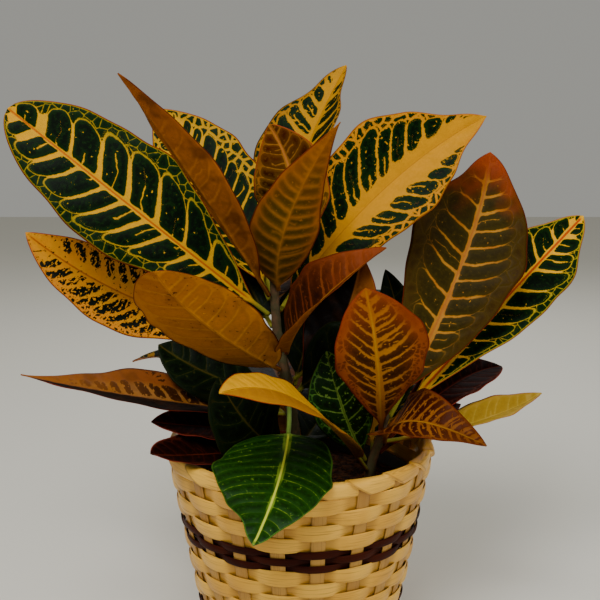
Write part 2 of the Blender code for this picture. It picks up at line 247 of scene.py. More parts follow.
def turned(profile: list[tuple[float, float]], sides: int) -> np.ndarray:
    """Turns a profile round the upright axis.

    Args:
        profile: radius and height of each ring.
        sides: how many points a ring has.

    Returns:
        Points by ring, place in the ring and axis.
    """
    angle = 2 * pi * np.arange(sides) / sides
    radius, height = np.array(profile, float).T[..., None]
    level = np.broadcast_to(height, (len(profile), sides))
    return np.stack([radius * np.cos(angle), radius * np.sin(angle), level], axis=2)


def rings_mesh(name: str, rings: np.ndarray, *materials: Material) -> Mesh:
    """A closed smooth skin over rings of points in millimetres.

    Args:
        name: the mesh's name.
        rings: points by ring, place in the ring and axis.
        materials: what the mesh is made of, the first of them unless faces are set otherwise.

    Returns:
        The mesh, with its faces pointing out, in metres.
    """
    count, sides = rings.shape[:2]
    faces = []
    for i in range(count - 1):
        for k in range(sides):
            after = (k + 1) % sides
            low, high = i * sides, (i + 1) * sides
            faces.append((low + k, low + after, high + after, high + k))
    faces.append(tuple(range(sides - 1, -1, -1)))
    faces.append(tuple((count - 1) * sides + k for k in range(sides)))
    mesh = bpy.data.meshes.new(name)
    mesh.from_pydata((rings.reshape(-1, 3) * MM).tolist(), [], faces)
    body = bmesh.new()
    body.from_mesh(mesh)
    if body.calc_volume(signed=True) < 0:
        bmesh.ops.reverse_faces(body, faces=body.faces)
    body.to_mesh(mesh)
    body.free()
    mesh.shade_smooth()
    for material in materials:
        mesh.materials.append(material)
    return mesh


# ---------------------------------------------------------------- leaves


@dataclass(frozen=True)
class BladeFinish:
    """Croton leaf skin: a thick, waxy living blade whose pigments keep to cells between veins.

    The wax gives the eye a soft, low sheen over saturated colour. Lengths are millimetres.
    patch is the colour deep in a cell and light near its rim, vein and vein_alt that of the
    veins, far what they turn to by the margin, core the line down the midrib, edge the margin's
    line. tint lies over the blade from tip_from to the tip and along the margin. lateral and mid
    are half widths of the side veins and midrib, swell widens the midrib's zone from open_from
    on, skew widens it on one half. loop is the share of the half blade where the long cells end,
    loop_line the vein round their ends, round_in how round their inner ends are, and belt how
    much of the zone outside has small cells, belt_cell wide with lines of belt_line between.
    short is the share of cells with a short vein in the middle and short_line its half width.
    flood spreads the vein colour at the tip. flecks of it lie in the cells, spots of the cells'
    colour on the veins, and breakup tears the cells in streaks. sway bends the veins, ragged
    roughens the cells' edges and soft blurs them. dusk lays painted shade in dusk_tone over the
    half of the blade turned from the light: a plus sign for the right half, a minus for the left.
    speck and blot are the shares of small and of large marks in mark_tone.
    """

    name: str
    patch: str = "#020d01"
    light: str = "#0b2804"
    vein: str = "#dca200"
    vein_alt: str = "#e8a600"
    far: str = "#98840c"
    core: str = "#c46400"
    edge: str = "#9c3a10"
    stalk: str = "#8f8a2a"
    tint: str = "#8c2a10"
    tint_tip: float = 0.0
    tip_from: float = 0.5
    tint_edge: float = 0.0
    dusk: float = 0.0
    dusk_tone: str = "#1c0a06"
    lateral: float = 1.35
    mid: float = 2.3
    swell: float = 0.0
    open_from: float = 0.15
    skew: float = 0.0
    loop: float = 0.8
    loop_line: float = 1.1
    round_in: float = 0.25
    belt: float = 0.9
    belt_cell: float = 6.5
    belt_line: float = 0.3
    short: float = 0.6
    short_line: float = 0.35
    flood: float = 1.2
    flecks: float = 0.25
    spots: float = 0.0
    speck: float = 0.0
    blot: float = 0.0
    mark_tone: str = "#3c1c04"
    breakup: float = 0.0
    ragged: float = 0.5
    sway: float = 1.5
    soft: float = 0.25
    rough: float = 0.45
    sheen: float = 0.04
    relief: float = 0.35

    SLOW_SIZE = 15.0
    FAST_SIZE = 2.4
    RELIEF_DEPTH = 0.5 * MM

    def material(self) -> Material:
        """The finish as a node material that reads the leaf's own attributes."""
        work = Paint(**vars(self))
        self.measure(work)
        self.draw_cells(work)
        colour = self.colour(work)
        relief = (self.relief, self.RELIEF_DEPTH, work("step(ink, -0.8, 1.2) + grain * 0.35"))
        rough = work("rough + (grain - 0.5) * 0.12")
        return work.close(colour, rough, relief, Specular_IOR_Level=self.sheen)

    def measure(self, work: Paint) -> None:
        """Reads the leaf's attributes and the chance fields that bend and roughen the pattern.

        Args:
            work: the material, which gets them all by name.
        """
        fields = {
            name: work.node("ShaderNodeAttribute", out=out, attribute_name=name)
            for name, out in (("blade", 1), ("cell", 1), ("leaf", 2))
        }
        work["run across along"] = fields["blade"]
        work["turn half gap"] = fields["cell"]
        work["seed"] = fields["leaf"]
        place = work("(run + seed * 61.3, across, 0)")
        slow = work.node("ShaderNodeTexNoise", place, None, 1 / self.SLOW_SIZE, 2.0, out=1)
        fast = work.node("ShaderNodeTexNoise", place, None, 1 / self.FAST_SIZE, 3.0, out=1)
        work["bend_a bend_b tone"] = slow
        work["rag fleck grain"] = fast
        drawn = work.node("ShaderNodeVectorMath", place, (0.5, 0.2, 1.0), operation="MULTIPLY")
        work["streak"] = work.node("ShaderNodeTexNoise", drawn, None, 1.0, 2.0)
        work["net"] = work.node(
            "ShaderNodeTexVoronoi", place, None, 1 / self.belt_cell,
            feature="DISTANCE_TO_EDGE", voronoi_dimensions="2D",
        )
        work["side"] = "above(across, 0)"
        work["reach"] = "abs(across)"
        work["share"] = "reach / half"
        work["depth"] = "reach + (bend_b - 0.5) * 2 * sway"
        work["count"] = "turn + side * 0.5 + (bend_a - 0.5) * 2 * sway / gap"
        work["centre"] = "(fract(count) - 0.5) * gap"
        chance = ("W", work("floor(count) + side * 17.3 + seed * 5.1"))
        work["dice"] = work.node("ShaderNodeTexWhiteNoise", chance, noise_dimensions="1D")
        work["luck"] = "fract(dice * 7.13)"

    def draw_cells(self, work: Paint) -> None:
        """Works out "ink": how deep a place lies in a cell, in millimetres, below 0 on a vein.

        A cell is a box with rounded ends between two side veins, from "inner" to "outer" across.

        Args:
            work: the material, with what measure found.
        """
        work["open"] = "step(along, open_from, open_from + 0.35)"
        work["inner"] = (
            "mid * (1 - 0.65 * along)"
            " + swell * open * (1 + skew * (side * 2 - 1)) * (0.8 + 0.4 * luck)"
        )
        work["outer"] = "half * (loop + (luck - 0.5) * 0.1 + (tone - 0.5) * 0.15)"
        work["thin"] = "lateral * (1.2 - 0.7 * share) * (0.7 + 0.6 * dice)"
        if self.swell:
            work["thin"] = "thin * (0.4 + 0.6 * open)"
        work["wide"] = "max(gap * 0.5 - thin - flood * step(along, 0.78, 1.0) * gap * 0.3, 0.05)"
        work["deep"] = "max((outer - inner) * 0.5, 0.05)"
        work["level"] = "depth - (outer + inner) * 0.5"
        work["curl"] = "min(wide, deep) * 0.9"
        work["bow"] = "curl * (round_in + (1 - round_in) * above(level, 0))"
        work["past_x"] = "abs(centre) - wide + bow"
        work["past_y"] = "abs(level) - deep + bow"
        work["room"] = (
            "bow - sqrt(max(past_x, 0) ** 2 + max(past_y, 0) ** 2) - min(max(past_x, past_y), 0)"
        )
        # Small cells fill what the rounded ends of the long ones leave free.
        work["small"] = (
            "min(min(net * belt_cell - belt_line, 0 - room - loop_line * (0.6 + dice * 0.7)),"
            " min(depth - outer + curl * 0.7, half - 1.3 - reach))"
            " - step(tone, belt, belt + 0.08) * 4"
        )
        # A short vein stands in the middle of some cells, from the midrib outwards.
        work["bar"] = (
            "max(abs(centre + (tone - 0.5) * 8) - short_line, level + deep - deep * dice * 1.6)"
            " + above(luck, short) * 20"
        )
        work["ink"] = "min(max(room, small), bar)"
        if self.breakup:
            work["ink"] = "ink - min(max((streak - 0.68 + breakup * 0.18) * 30, 0), 5)"
        if self.spots:
            work["ink"] = "max(ink, min((grain - 0.74 + spots * 0.12) * 14, half - 1.2 - reach))"
        work["ink"] = "min(ink, (0.74 - flecks * 0.2 - fleck) * 14) + (rag - 0.5) * 2 * ragged"

    def colour(self, work: Paint) -> Socket:
        """Lays the colours one over the other, from the cells out to the margin and the stalk.

        Args:
            work: the material, with its cells drawn.

        Returns:
            The colour, faintly clouded all over.
        """
        work["inside"] = "lay(step(ink, 0.2, 3.5), light, patch)"
        work["inside"] = "lay(step(streak, 0.5, 0.75) * 0.4, inside, light)"
        work["veins"] = "lay(step(tone, 0.35, 0.65), vein, vein_alt)"
        work["veins"] = "lay(step(share, loop * 0.6, loop * 1.15), veins, far)"
        work["veins"] = "lay(step(reach, mid * 0.36, mid * 0.12) * step(half, 2, 5), veins, core)"
        work["skin"] = "lay(step(ink, 0 - soft, soft), veins, inside)"
        if self.tint_tip or self.tint_edge:
            work["skin"] = (
                "lay(min(tint_tip * step(along + (tone - 0.5) * 0.3, tip_from, 0.98)"
                " + tint_edge * step(share + (tone - 0.5) * 0.3, 0.4, 1.0), 1), skin, tint)"
            )
        # Painted shade: the half of the blade turned from the light is laid in dusk_tone.
        if self.dusk:
            half = "across" if self.dusk > 0 else "across * -1"
            work["skin"] = f"lay(step({half}, 0.3, 1.6) * abs(dusk), skin, dusk_tone)"
        if self.blot:
            work["skin"] = "lay(step(tone, 0.5, 0.66) * blot, skin, mark_tone)"
        if self.speck:
            work["least"] = "0.72 - speck * 0.1"
            work["skin"] = "lay(step(grain + (tone - 0.5) * 0.3, least, least + 0.04), skin, mark_tone)"
        work["skin"] = "lay(step(half - reach, 1.0, 0.45) * step(half, 1.5, 4), skin, edge)"
        work["skin"] = "lay(step(along, 0.03, -0.02), skin, stalk)"
        shade = work("lay(grain * 0.3 + tone * 0.25, '#ffffff', '#9a9a9a')")
        pair = [(6, work("skin")), (7, shade)]
        return work.node("ShaderNodeMix", 1.0, *pair, out=2, data_type="RGBA", blend_type="MULTIPLY")


class Look(Enum):
    """The named looks of a leaf's face."""

    NET = BladeFinish(
        "leaf_green_yellow_net", lateral=1.6, mid=2.6, flood=0.5, flecks=0.12, belt_line=0.2,
        short=0.8,
    )
    TALL = replace(
        NET, name="leaf_green_fine_net", lateral=1.9, mid=2.4, loop=0.68, flood=1.6,
        belt_line=0.9, far="#c89408", swell=4.0, open_from=0.5, breakup=0.15, spots=0.15,
        round_in=0.7,
    )
    RIGHT = replace(
        NET, name="leaf_green_thin_net", lateral=1.05, mid=3.3, core="#c4480a", vein="#f4b000",
        vein_alt="#fcb804", far="#a8981c", edge="#b8642a", loop_line=0.7, flecks=0.1,
        stalk="#9c5818",
    )
    GOLD = BladeFinish(
        "leaf_gold_green_blotches", vein="#cc8c00", vein_alt="#d89400", far="#cc8400",
        lateral=1.1, mid=1.6, swell=8.5, open_from=0.1, skew=0.25, loop=0.84, loop_line=1.3,
        belt=0.7, belt_line=0.8, core="#c08000", short=0.45, short_line=0.5, round_in=0.9,
        ragged=0.9, breakup=0.22, edge="#b0601a", sway=2.6,
    )
    CREST = replace(
        GOLD, name="leaf_gold_tip_blotches", vein="#c48a00", vein_alt="#d09200", swell=2.4,
        skew=-0.2, breakup=0.3, edge="#6c3a14", far="#b07400", lateral=1.6,
    )
    SPOTTED = BladeFinish(
        "leaf_gold_black_spots", vein="#e49004", vein_alt="#e89c08", far="#d88410",
        core="#b86410", lateral=1.7, mid=2.4, swell=3.2, skew=0.7, open_from=0.0,
        patch="#040a02", light="#0c1404", belt_cell=4.0, belt_line=0.7, loop=0.86,
        breakup=0.85, spots=0.65, flood=1.6, edge="#a03818", round_in=0.8, flecks=0.6,
        ragged=1.5, sway=2.8,
    )
    OLIVE = BladeFinish(
        "leaf_olive_red_veins", patch="#2e2403", light="#3c3006", vein="#b87c24",
        vein_alt="#b06a1c", far="#3c3408", core="#b06a28", edge="#7c2c10", tint="#9c3c0c",
        tint_tip=0.95, tip_from=0.66, tint_edge=0.05, lateral=0.75, mid=2.6, loop=0.72,
        loop_line=0.3, belt_cell=9.0, belt_line=0.1, short=0.35, short_line=0.16, flood=0.2,
        flecks=0.1, soft=0.4, sway=2.4,
    )
    ORANGE = BladeFinish(
        "leaf_orange_dark_stripes", patch="#2c1602", light="#4c2604", vein="#a8680c",
        vein_alt="#b4740e", far="#944a06", core="#b88014", edge="#842c0c", tint="#843604",
        tint_tip=0.6, tint_edge=0.55, lateral=0.85, mid=2.5, loop=0.76, loop_line=1.0,
        belt=0.5, belt_cell=3.2, belt_line=0.4, flood=0.6, soft=0.4, breakup=0.3, spots=0.25,
        round_in=0.5, ragged=0.8, sway=2.2, stalk="#9c4414",
    )
    STRIPED = BladeFinish(
        "leaf_orange_purple_stripes", patch="#1c0602", light="#3c1002", vein="#985a14",
        vein_alt="#8c500e", far="#6c3408", core="#a87820", edge="#6c280c", tint="#683004",
        tint_tip=0.5, tint_edge=0.2, lateral=0.8, mid=1.4, loop=0.9, belt=0.5, belt_cell=3.0,
        flood=0.6, breakup=0.45, spots=0.3, round_in=0.5, ragged=0.8, stalk="#8c3c10",
    )
    FOLDED = replace(
        STRIPED, name="leaf_purple_red_tip", tint="#8c3c08", tint_tip=0.9, tint_edge=0.1,
        patch="#240c04", light="#3c1804", vein="#7c3c0c", vein_alt="#6c2c08", breakup=0.2,
        far="#40180a",
    )
    GLOSSY = BladeFinish(
        "leaf_dark_green_gloss", patch="#0b2802", light="#164004", vein="#7c9a28",
        vein_alt="#1e4808", far="#346410", core="#d4dc48", edge="#4c7a20", stalk="#7c9a3c",
        lateral=0.12, mid=2.6, loop=1.2, belt=0.0, short=0.0, flood=0.0, soft=0.3, rough=0.42,
        sway=0.9, sheen=0.1,
    )
    # Painted shade: near-black colours, darker than the leaves' own deep green, for leaves that lie in
    # shade inside the crown.
    SHADE = BladeFinish(
        "leaf_deep_green", patch="#040a02", light="#0c1805", vein="#2a3008", vein_alt="#2c2806",
        far="#0c1603", core="#44380c", edge="#20220a", lateral=0.2, mid=1.1, loop=0.85,
        belt=0.6, belt_line=0.2, loop_line=0.4, short=0.3, short_line=0.2, flood=0.0,
        flecks=0.2,
    )
    SPECKLED = BladeFinish(
        "leaf_deep_green_speckled", patch="#081402", light="#102a05", vein="#5c7e30",
        vein_alt="#6a8c38", far="#3c6a20", core="#4c5c1c", edge="#3a3a1a", lateral=0.3,
        mid=1.1, belt_cell=5.0, loop_line=0.5, flecks=0.4, flood=0.0, ragged=0.8,
    )
    PURPLE = BladeFinish(
        "leaf_maroon", patch="#120403", light="#200803", vein="#34100a", vein_alt="#3c1408",
        far="#401808", core="#5c2410", edge="#8c3428", stalk="#5c2414", lateral=0.25, mid=1.2,
        loop=0.85, belt=0.5, flood=0.2, flecks=0.15, sheen=0.01,
    )
    MAROON_RIB = replace(
        PURPLE, name="leaf_maroon_orange_rib", patch="#301804", light="#6c4810", core="#e89440",
        vein="#b07428", vein_alt="#c08430", far="#a4681c", edge="#9c4424", mid=3.2,
        tint="#6c240a", tint_tip=0.4,
    )
    BRONZE = BladeFinish(
        "leaf_copper_dark_blotches", patch="#241003", light="#3c1e04", vein="#8c561c",
        vein_alt="#9c6830", far="#7c4014", core="#5c300c", edge="#6c2410", tint="#8c501c",
        tint_tip=1.0, tip_from=0.3, lateral=1.5, mid=0.8, swell=0.6, loop=0.52, belt=0.3,
        belt_line=1.1, breakup=0.6, flood=1.4, short=0.4, round_in=0.7, ragged=0.8, spots=0.1,
        dusk=-1.0, dusk_tone="#0a0402", blot=0.3,
    )
    BRIGHT = BladeFinish(
        "leaf_clear_yellow", patch="#d09400", light="#dc9c00", vein="#e8a800", vein_alt="#dca000",
        far="#d49800", core="#7c4408", edge="#9c3c0c", lateral=0.35, mid=1.0, flecks=0.1,
        belt=0.0, soft=0.8, dusk=-0.75, dusk_tone="#a06410", relief=0.2,
    )
    PALE = replace(
        BRIGHT, name="leaf_olive_yellow", patch="#a4801a", light="#ac8a24", vein="#bc9c3c",
        vein_alt="#c4a43c", far="#b48c2c", core="#8c6414", dusk=-0.3, dusk_tone="#8c6410",
        lateral=0.2,
    )
    COPPER = BladeFinish(
        "leaf_underside_copper", patch="#a86008", light="#985406", vein="#c07820",
        vein_alt="#b46c14", far="#a45c0c", core="#b8741c", edge="#6c2a0c", stalk="#84501c",
        tint="#a85c10", tint_tip=0.4, lateral=0.5, mid=1.3, loop=0.85, belt=0.3, belt_line=0.4,
        flood=0.3, flecks=0.15, short=0.3, soft=1.4, rough=0.55, relief=0.3, ragged=0.8,
    )
    COPPER_RIBBED = replace(
        COPPER, name="leaf_underside_olive_ribbed", patch="#4a3606", light="#5c4208",
        vein="#9c6410", vein_alt="#a8660c", far="#9c560a", core="#a86c10", tint="#94500a",
        tint_tip=0.8, tint_edge=0.3, lateral=1.2, soft=1.6,
    )
    COPPER_RED = replace(
        COPPER, name="leaf_underside_red_copper", patch="#a45c10", light="#8c4c0a",
        vein="#c4741c", vein_alt="#bc7014", far="#a85c10", tint="#904a10", tint_tip=0.85,
        edge="#5c240c", spots=0.1, belt=0.0, loop=0.8, soft=1.8, sway=2.6, blot=0.55,
        mark_tone="#4c2606",
    )
    COPPER_SPOT = replace(
        COPPER, name="leaf_underside_copper_spotted", patch="#c47614", light="#b46c10",
        vein="#d88c1c", vein_alt="#e49828", far="#c87c14", spots=0.16, edge="#7c3808",
        dusk=0.35, dusk_tone="#84460a", speck=0.5, blot=0.2, mark_tone="#5c2c06",
    )
    GOLDEN = replace(
        COPPER, name="leaf_underside_gold", patch="#a8741c", light="#9c6818", vein="#b4821e",
        vein_alt="#b07a1c", core="#b88a24", tint="#b07818", edge="#8c4a14", far="#b07a1c",
    )
    OLIVE_BACK = replace(
        COPPER, name="leaf_underside_olive", patch="#2c2a08", light="#3a340a", vein="#5a4a14",
        vein_alt="#64501a", core="#74601e", tint="#4a340e", far="#5a4814",
    )
    DARK_BACK = replace(
        COPPER, name="leaf_underside_maroon", patch="#140604", light="#1c0a06", vein="#301408",
        vein_alt="#341608", core="#4a200e", tint="#240c06", edge="#4a1c10", far="#301408",
    )


@dataclass(frozen=True)
class BarkFinish:
    """Young croton bark: corky, grown in rings and fine upright cracks, so it looks dull.

    mottle_size and crack_gap are millimetres, and CRACK_RUN is how many gaps long a crack is.
    """

    name: str = "croton_bark"
    green: str = "#403a16"
    brown: str = "#5c4022"
    crack_tone: str = "#3a2a14"
    mottle_size: float = 7.692
    crack_gap: float = 0.8333

    CRACK_RUN = 4.0
    CRACK_DEPTH = 0.4 * MM

    def material(self) -> Material:
        """The finish as a node material."""
        work = Paint(**vars(self))
        place = work.node("ShaderNodeTexCoord", out=3)
        drawn = (1.0, 1.0, 1 / self.CRACK_RUN)
        upright = work.node("ShaderNodeVectorMath", place, drawn, operation="MULTIPLY")
        cracks, mottles = 1 / (self.crack_gap * MM), 1 / (self.mottle_size * MM)
        work["crack"] = work.node("ShaderNodeTexNoise", upright, None, cracks, 4.0)
        work["mottle"] = work.node("ShaderNodeTexNoise", place, None, mottles, 3.0)
        work["skin"] = "lay(step(mottle, 0.4, 0.62), green, brown)"
        work["skin"] = "lay(step(crack, 0.5, 0.7) * 0.6, skin, crack_tone)"
        return work.close(work("skin"), 0.75, (0.5, self.CRACK_DEPTH, work("crack")))


@dataclass(frozen=True)
class Stem:
    """A woody stem through points that rise from below the potting mix.

    Its skin swells into a ring at each scar, where an old leaf fell, and step is how close its
    own rings of points lie. WAVES make it uneven: share of the radius, lobes and twist to the
    millimetre of height.
    """

    name: str
    points: tuple
    foot_radius: float
    top_radius: float
    sides: int = 20
    step: float = 1.6
    scar: float = 9.0

    SMOOTHING = (-6, -3, 0, 3, 6)
    SCAR_SWELL = 0.09
    WAVES = ((0.03, 3, 0.13), (0.02, 5, -0.31))
    DOME = 3.0
    TOP_GAP = 0.01

    def at(self, height: float) -> tuple[Vector, float]:
        """Finds the stem at a height.

        Args:
            height: where, between its first and last point.

        Returns:
            The point on its axis and its radius there.
        """
        lows = [p for p in self.points[:-1] if p[2] <= height] or [self.points[0]]
        low = lows[-1]
        high = self.points[self.points.index(low) + 1]
        share = (height - low[2]) / (high[2] - low[2])
        rise = (height - self.points[0][2]) / (self.points[-1][2] - self.points[0][2])
        radius = self.foot_radius + (self.top_radius - self.foot_radius) * rise
        return Vector(low).lerp(Vector(high), share), radius

    def build(self, bark: Material) -> Object:
        """Makes the stem with its leaf scars, rounded at the top.

        Args:
            bark: its material.

        Returns:
            The stem's piece.
        """
        low, high = self.points[0][2], self.points[-1][2]
        last = high - self.TOP_GAP
        angle = 2 * pi * np.arange(self.sides) / self.sides
        rings = []
        for height in np.linspace(low, high, int((high - low) / self.step) + 1):
            near = [self.at(min(max(height + d, low), last))[0] for d in self.SMOOTHING]
            centre = sum(near, Vector()) / len(near)
            radius = self.at(min(height, last))[1]
            scar = self.SCAR_SWELL * max(cos(2 * pi * height / self.scar), 0.0) ** 6
            wave = sum(a * np.sin(lobes * angle + height * b) for a, lobes, b in self.WAVES)
            close = max(min((high - height) / self.DOME, 1.0) ** 0.5, 0.05)
            reach = radius * (1 + scar + wave) * close
            level = np.full(self.sides, height)
            x, y = centre.x + reach * np.cos(angle), centre.y + reach * np.sin(angle)
            rings.append(np.stack([x, y, level], axis=1))
        mesh = rings_mesh(self.name, np.array(rings), bark)
        return new_piece("woody_" + self.name, mesh, self.name)


TOP = 109.0
SINK = 14.0
MAIN = Stem(
    "stem_main",
    ((-1, 9, TOP - SINK), (-4, 7, 140), (-8, 4, 172), (-15, 2, 208), (-17, 0, 247)),
    foot_radius=4.6,
    top_radius=2.6,
)
SIDE = Stem(
    "stem_side",
    ((43, -1, TOP - SINK), (48, -4, 126), (53, -7, 141), (56, -8, 158)),
    foot_radius=3.8,
    top_radius=2.4,
)


@dataclass(frozen=True)
class BladeGrid:
    """Where a blade's grid points lie, by row from root to tip and column from left to right.

    shares are the rows' places on the midline and along those on the blade, below 0 on the
    stalk. x runs from -1 at the left margin to 1 at the right one. run is the length from the
    blade's base, half the half width, across the distance from the midrib, all in millimetres,
    and count the side veins passed. neck is the stalk's radius, blade_half the half width
    without waves, flat how far the stalk has turned to blade, and turns are chance angles.
    """

    shares: np.ndarray
    along: np.ndarray
    x: np.ndarray
    run: np.ndarray
    half: np.ndarray
    across: np.ndarray
    count: np.ndarray
    neck: np.ndarray
    blade_half: np.ndarray
    flat: np.ndarray
    turns: np.ndarray


@dataclass(frozen=True)
class Leaf:
    """One leaf: stalk and blade along a curve from its stem to its tip.

    bend is how far the curve's middle stands off the straight line from root to tip, face is the
    way the upper side looks, fold lifts both halves off the midrib, belly is where along the
    blade it is widest, stalk is the bare share of the midline. spacing is the distance between
    side veins along the midrib and angle how steeply they leave it. lean makes the right half
    that share wider and the left half narrower, uneven does the same to the spacing and turned
    adds degrees to the right half's angle and takes them off the left's. drip draws the blade in
    before its tip.
    """

    name: str
    stem: Stem
    height: float
    tip: tuple
    bend: tuple
    width: float
    face: tuple
    slot: str
    upper: Look
    under: Look
    fold: float = 12.0
    belly: float = 0.5
    base_fullness: float = 0.9
    tip_fullness: float = 0.8
    stalk: float = 0.08
    spacing: float = 13.0
    angle: float = 64.0
    lean: float = 0.0
    uneven: float = 0.0
    turned: float = 0.0
    drip: float = 0.0

    STALK_RADIUS = 1.5
    GAP = 0.3
    TIP_HALF = 0.5
    THICK = 0.55
    ROW_PITCH = 2.3
    COLUMN_PITCH = 5.0
    STALK_ROWS = 8
    ROW_CROWDING, COLUMN_CROWDING = 1.06, 1.2
    NECK_TAPER, NECK_LEAST = 2.2, 0.3
    FLAT_FROM, FLAT_OVER = 1.0, 6.0
    DRIP_FROM = 0.72
    RIB, RIB_HALF = 1.1, 1.5
    GROOVE, GROOVE_HALF = 0.45, 1.6
    EDGE_WAVE, EDGE_WAVES, EDGE_PHASES = 1.3, 1.9, (0.4, 2.6)
    RIPPLE, RIPPLES = 0.7, 4.6
    SCALLOP, SCALLOPS = 0.038, ((2.3, 5.1), (2.7, 5.7))
    CALM_WIDTH = 60.0
    SWEEP = 0.28
    PUFF = 0.4
    VEIN_CHANCE = 0.16
    FIRST_SEED = 400

    def curve(self) -> tuple[Vector, Vector, Vector]:
        """Root, control point and tip of the leaf's midline."""
        centre, radius = self.stem.at(self.height)
        tip = Vector(self.tip)
        middle = (centre + tip) / 2 + Vector(self.bend)
        start = (2 * middle - (centre + tip) / 2 - centre).normalized()
        outward = Vector((tip.x - centre.x, tip.y - centre.y, 0.0)).normalized()
        root = centre + outward * (radius + 2 * self.GAP + self.STALK_RADIUS * abs(start.z))
        return root, (root + tip) / 2 + 2 * Vector(self.bend), tip

    def half_width(self, along: np.ndarray) -> np.ndarray:
        """Works out the blade's outline.

        Args:
            along: shares of the blade's length, below 0 on the stalk.

        Returns:
            Half the blade's width there.
        """
        inside = np.clip(along, 0.0, 1.0)
        swell = np.clip(np.sin(pi * inside ** (log(0.5) / log(self.belly))), 0.0, 1.0)
        fullness = np.where(along < self.belly, self.base_fullness, self.tip_fullness)
        late = np.clip((inside - self.DRIP_FROM) / (1 - self.DRIP_FROM), 0, 1)
        drawn = 1 - self.drip * np.sin(pi * late) ** 2
        return np.where(along > 0, 0.5 * self.width * swell**fullness * drawn, 0.0)

    def frames(self, shares: np.ndarray) -> tuple[np.ndarray, np.ndarray, np.ndarray]:
        """Follows the midline.

        Args:
            shares: a column of shares of its whole length.

        Returns:
            Points on it, directions across the blade and the upper side's normals.
        """
        root, control, tip = (np.array(p) for p in self.curve())
        points = root * (1 - shares) ** 2 + control * (2 * shares * (1 - shares)) + tip * shares**2
        ahead = (control - root) * (1 - shares) + (tip - control) * shares
        ahead /= np.linalg.norm(ahead, axis=1, keepdims=True)
        face = np.array(self.face, float)
        normal = face - ahead * (ahead @ face)[:, None]
        normal /= np.linalg.norm(normal, axis=1, keepdims=True)
        return points, np.cross(ahead, normal), normal

    def vein_count(
        self, run: np.ndarray, across: np.ndarray, half: np.ndarray, dice: np.random.Generator
    ) -> np.ndarray:
        """Counts the side veins up to each place, on both halves of the blade.

        Args:
            run: length from the blade's base.
            across: distance from the midrib, below 0 on the left.
            half: half width of the blade.
            dice: what shifts each vein a little.

        Returns:
            A whole number on a vein, and between veins a share of the way to the next.
        """
        angle = np.where(across < 0, self.angle - self.turned, self.angle + self.turned)
        slant = 1 / np.tan(np.radians(angle))
        share = np.abs(across) / np.maximum(half, 0.1)
        back = run - np.abs(across) * slant - self.SWEEP * half * share**3
        counts = []
        for spacing in (self.spacing * (1 - self.uneven), self.spacing * (1 + self.uneven)):
            starts = np.arange(-2, int(run.max() / spacing) + 4)
            chance = dice.uniform(-self.VEIN_CHANCE, self.VEIN_CHANCE, len(starts))
            counts.append(np.interp(back, (starts + chance) * spacing, starts))
        return np.where(across < 0, *counts)

    def grid(self, dice: np.random.Generator) -> BladeGrid:
        """Lays out the grid of the blade and its stalk, with scalloped margins.

        Args:
            dice: the leaf's own chance numbers.

        Returns:
            The grid, still flat.
        """
        root, _, tip = self.curve()
        rows = 10 + int((tip - root).length / self.ROW_PITCH)
        bare = np.linspace(0, self.stalk, self.STALK_ROWS, endpoint=False)
        leafy = 1 - (1 - np.linspace(0, 1, rows)) ** self.ROW_CROWDING
        shares = np.concatenate([bare, self.stalk + (1 - self.stalk) * leafy])[:, None]
        along = (shares - self.stalk) / (1 - self.stalk)
        steps = np.linalg.norm(np.diff(self.frames(shares)[0], axis=0), axis=1)
        run = np.concatenate([[0], np.cumsum(steps)])
        run -= np.interp(0.0, along[:, 0], run)

        spread = np.linspace(-1, 1, 2 * int(5 + self.width / self.COLUMN_PITCH) + 1)[None, :]
        x = np.sign(spread) * np.abs(spread) ** self.COLUMN_CROWDING
        blade_half = self.half_width(along)
        taper = 1 - np.maximum(along, 0) * self.NECK_TAPER
        neck = self.STALK_RADIUS * np.clip(taper, self.NECK_LEAST, 1)
        half = np.maximum((blade_half**4 + neck**4) ** 0.25, self.TIP_HALF)
        half[-1] = self.TIP_HALF * 0.6
        flat = np.clip((blade_half - self.FLAT_FROM) / self.FLAT_OVER, 0, 1)
        flat = flat * flat * (3 - 2 * flat)

        inside = np.clip(along, 0, 1)
        turns = dice.uniform(0, 2 * pi, 6)
        margins = [
            np.sin(2 * pi * broad * inside + turns[2 * k])
            + 0.5 * np.sin(2 * pi * fine * inside + turns[2 * k + 1])
            for k, (broad, fine) in enumerate(self.SCALLOPS)
        ]
        envelope = np.sin(pi * inside)
        half = half * (1 + self.SCALLOP * self.calm() * np.where(x < 0, *margins) * envelope)
        half = half * (1 + self.lean * np.sign(x) * envelope**0.5)
        across = x * half
        run = np.broadcast_to(run[:, None], across.shape)
        count = self.vein_count(run, across, half, dice)
        return BladeGrid(shares, along, x, run, half, across, count, neck, blade_half, flat, turns)

    def calm(self) -> float:
        """How much of its waves a leaf keeps, less on a narrow one."""
        return min(self.width / self.CALM_WIDTH, 1.0)

    def rings(self, grid: BladeGrid) -> np.ndarray:
        """Bends the grid along the midline and gives it folds, waves, puffed cells and thickness.

        Args:
            grid: the flat grid.

        Returns:
            Rings of points: the upper side from left to right, then the lower side back again.
        """
        fold = radians(self.fold)
        inside = np.clip(grid.along, 0, 1)
        envelope = self.calm() * np.sin(pi * inside)
        out = np.abs(grid.x)
        phase = np.where(grid.x < 0, *self.EDGE_PHASES)
        wave = self.EDGE_WAVE * np.sin(2 * pi * self.EDGE_WAVES * inside + phase) * envelope
        phase = np.where(grid.x < 0, *grid.turns[4:])
        ripple = self.RIPPLE * np.sin(2 * pi * self.RIPPLES * inside + phase) * envelope
        cells = grid.count + np.where(grid.x > 0, 0.5, 0.0)
        puff = self.PUFF * (0.5 - 0.5 * np.cos(2 * pi * cells)) * np.sin(pi * out) ** 0.7
        lift = grid.blade_half * sin(fold) * out**1.25
        lift = lift + wave * out**1.5 + ripple * out**4 + puff * grid.flat

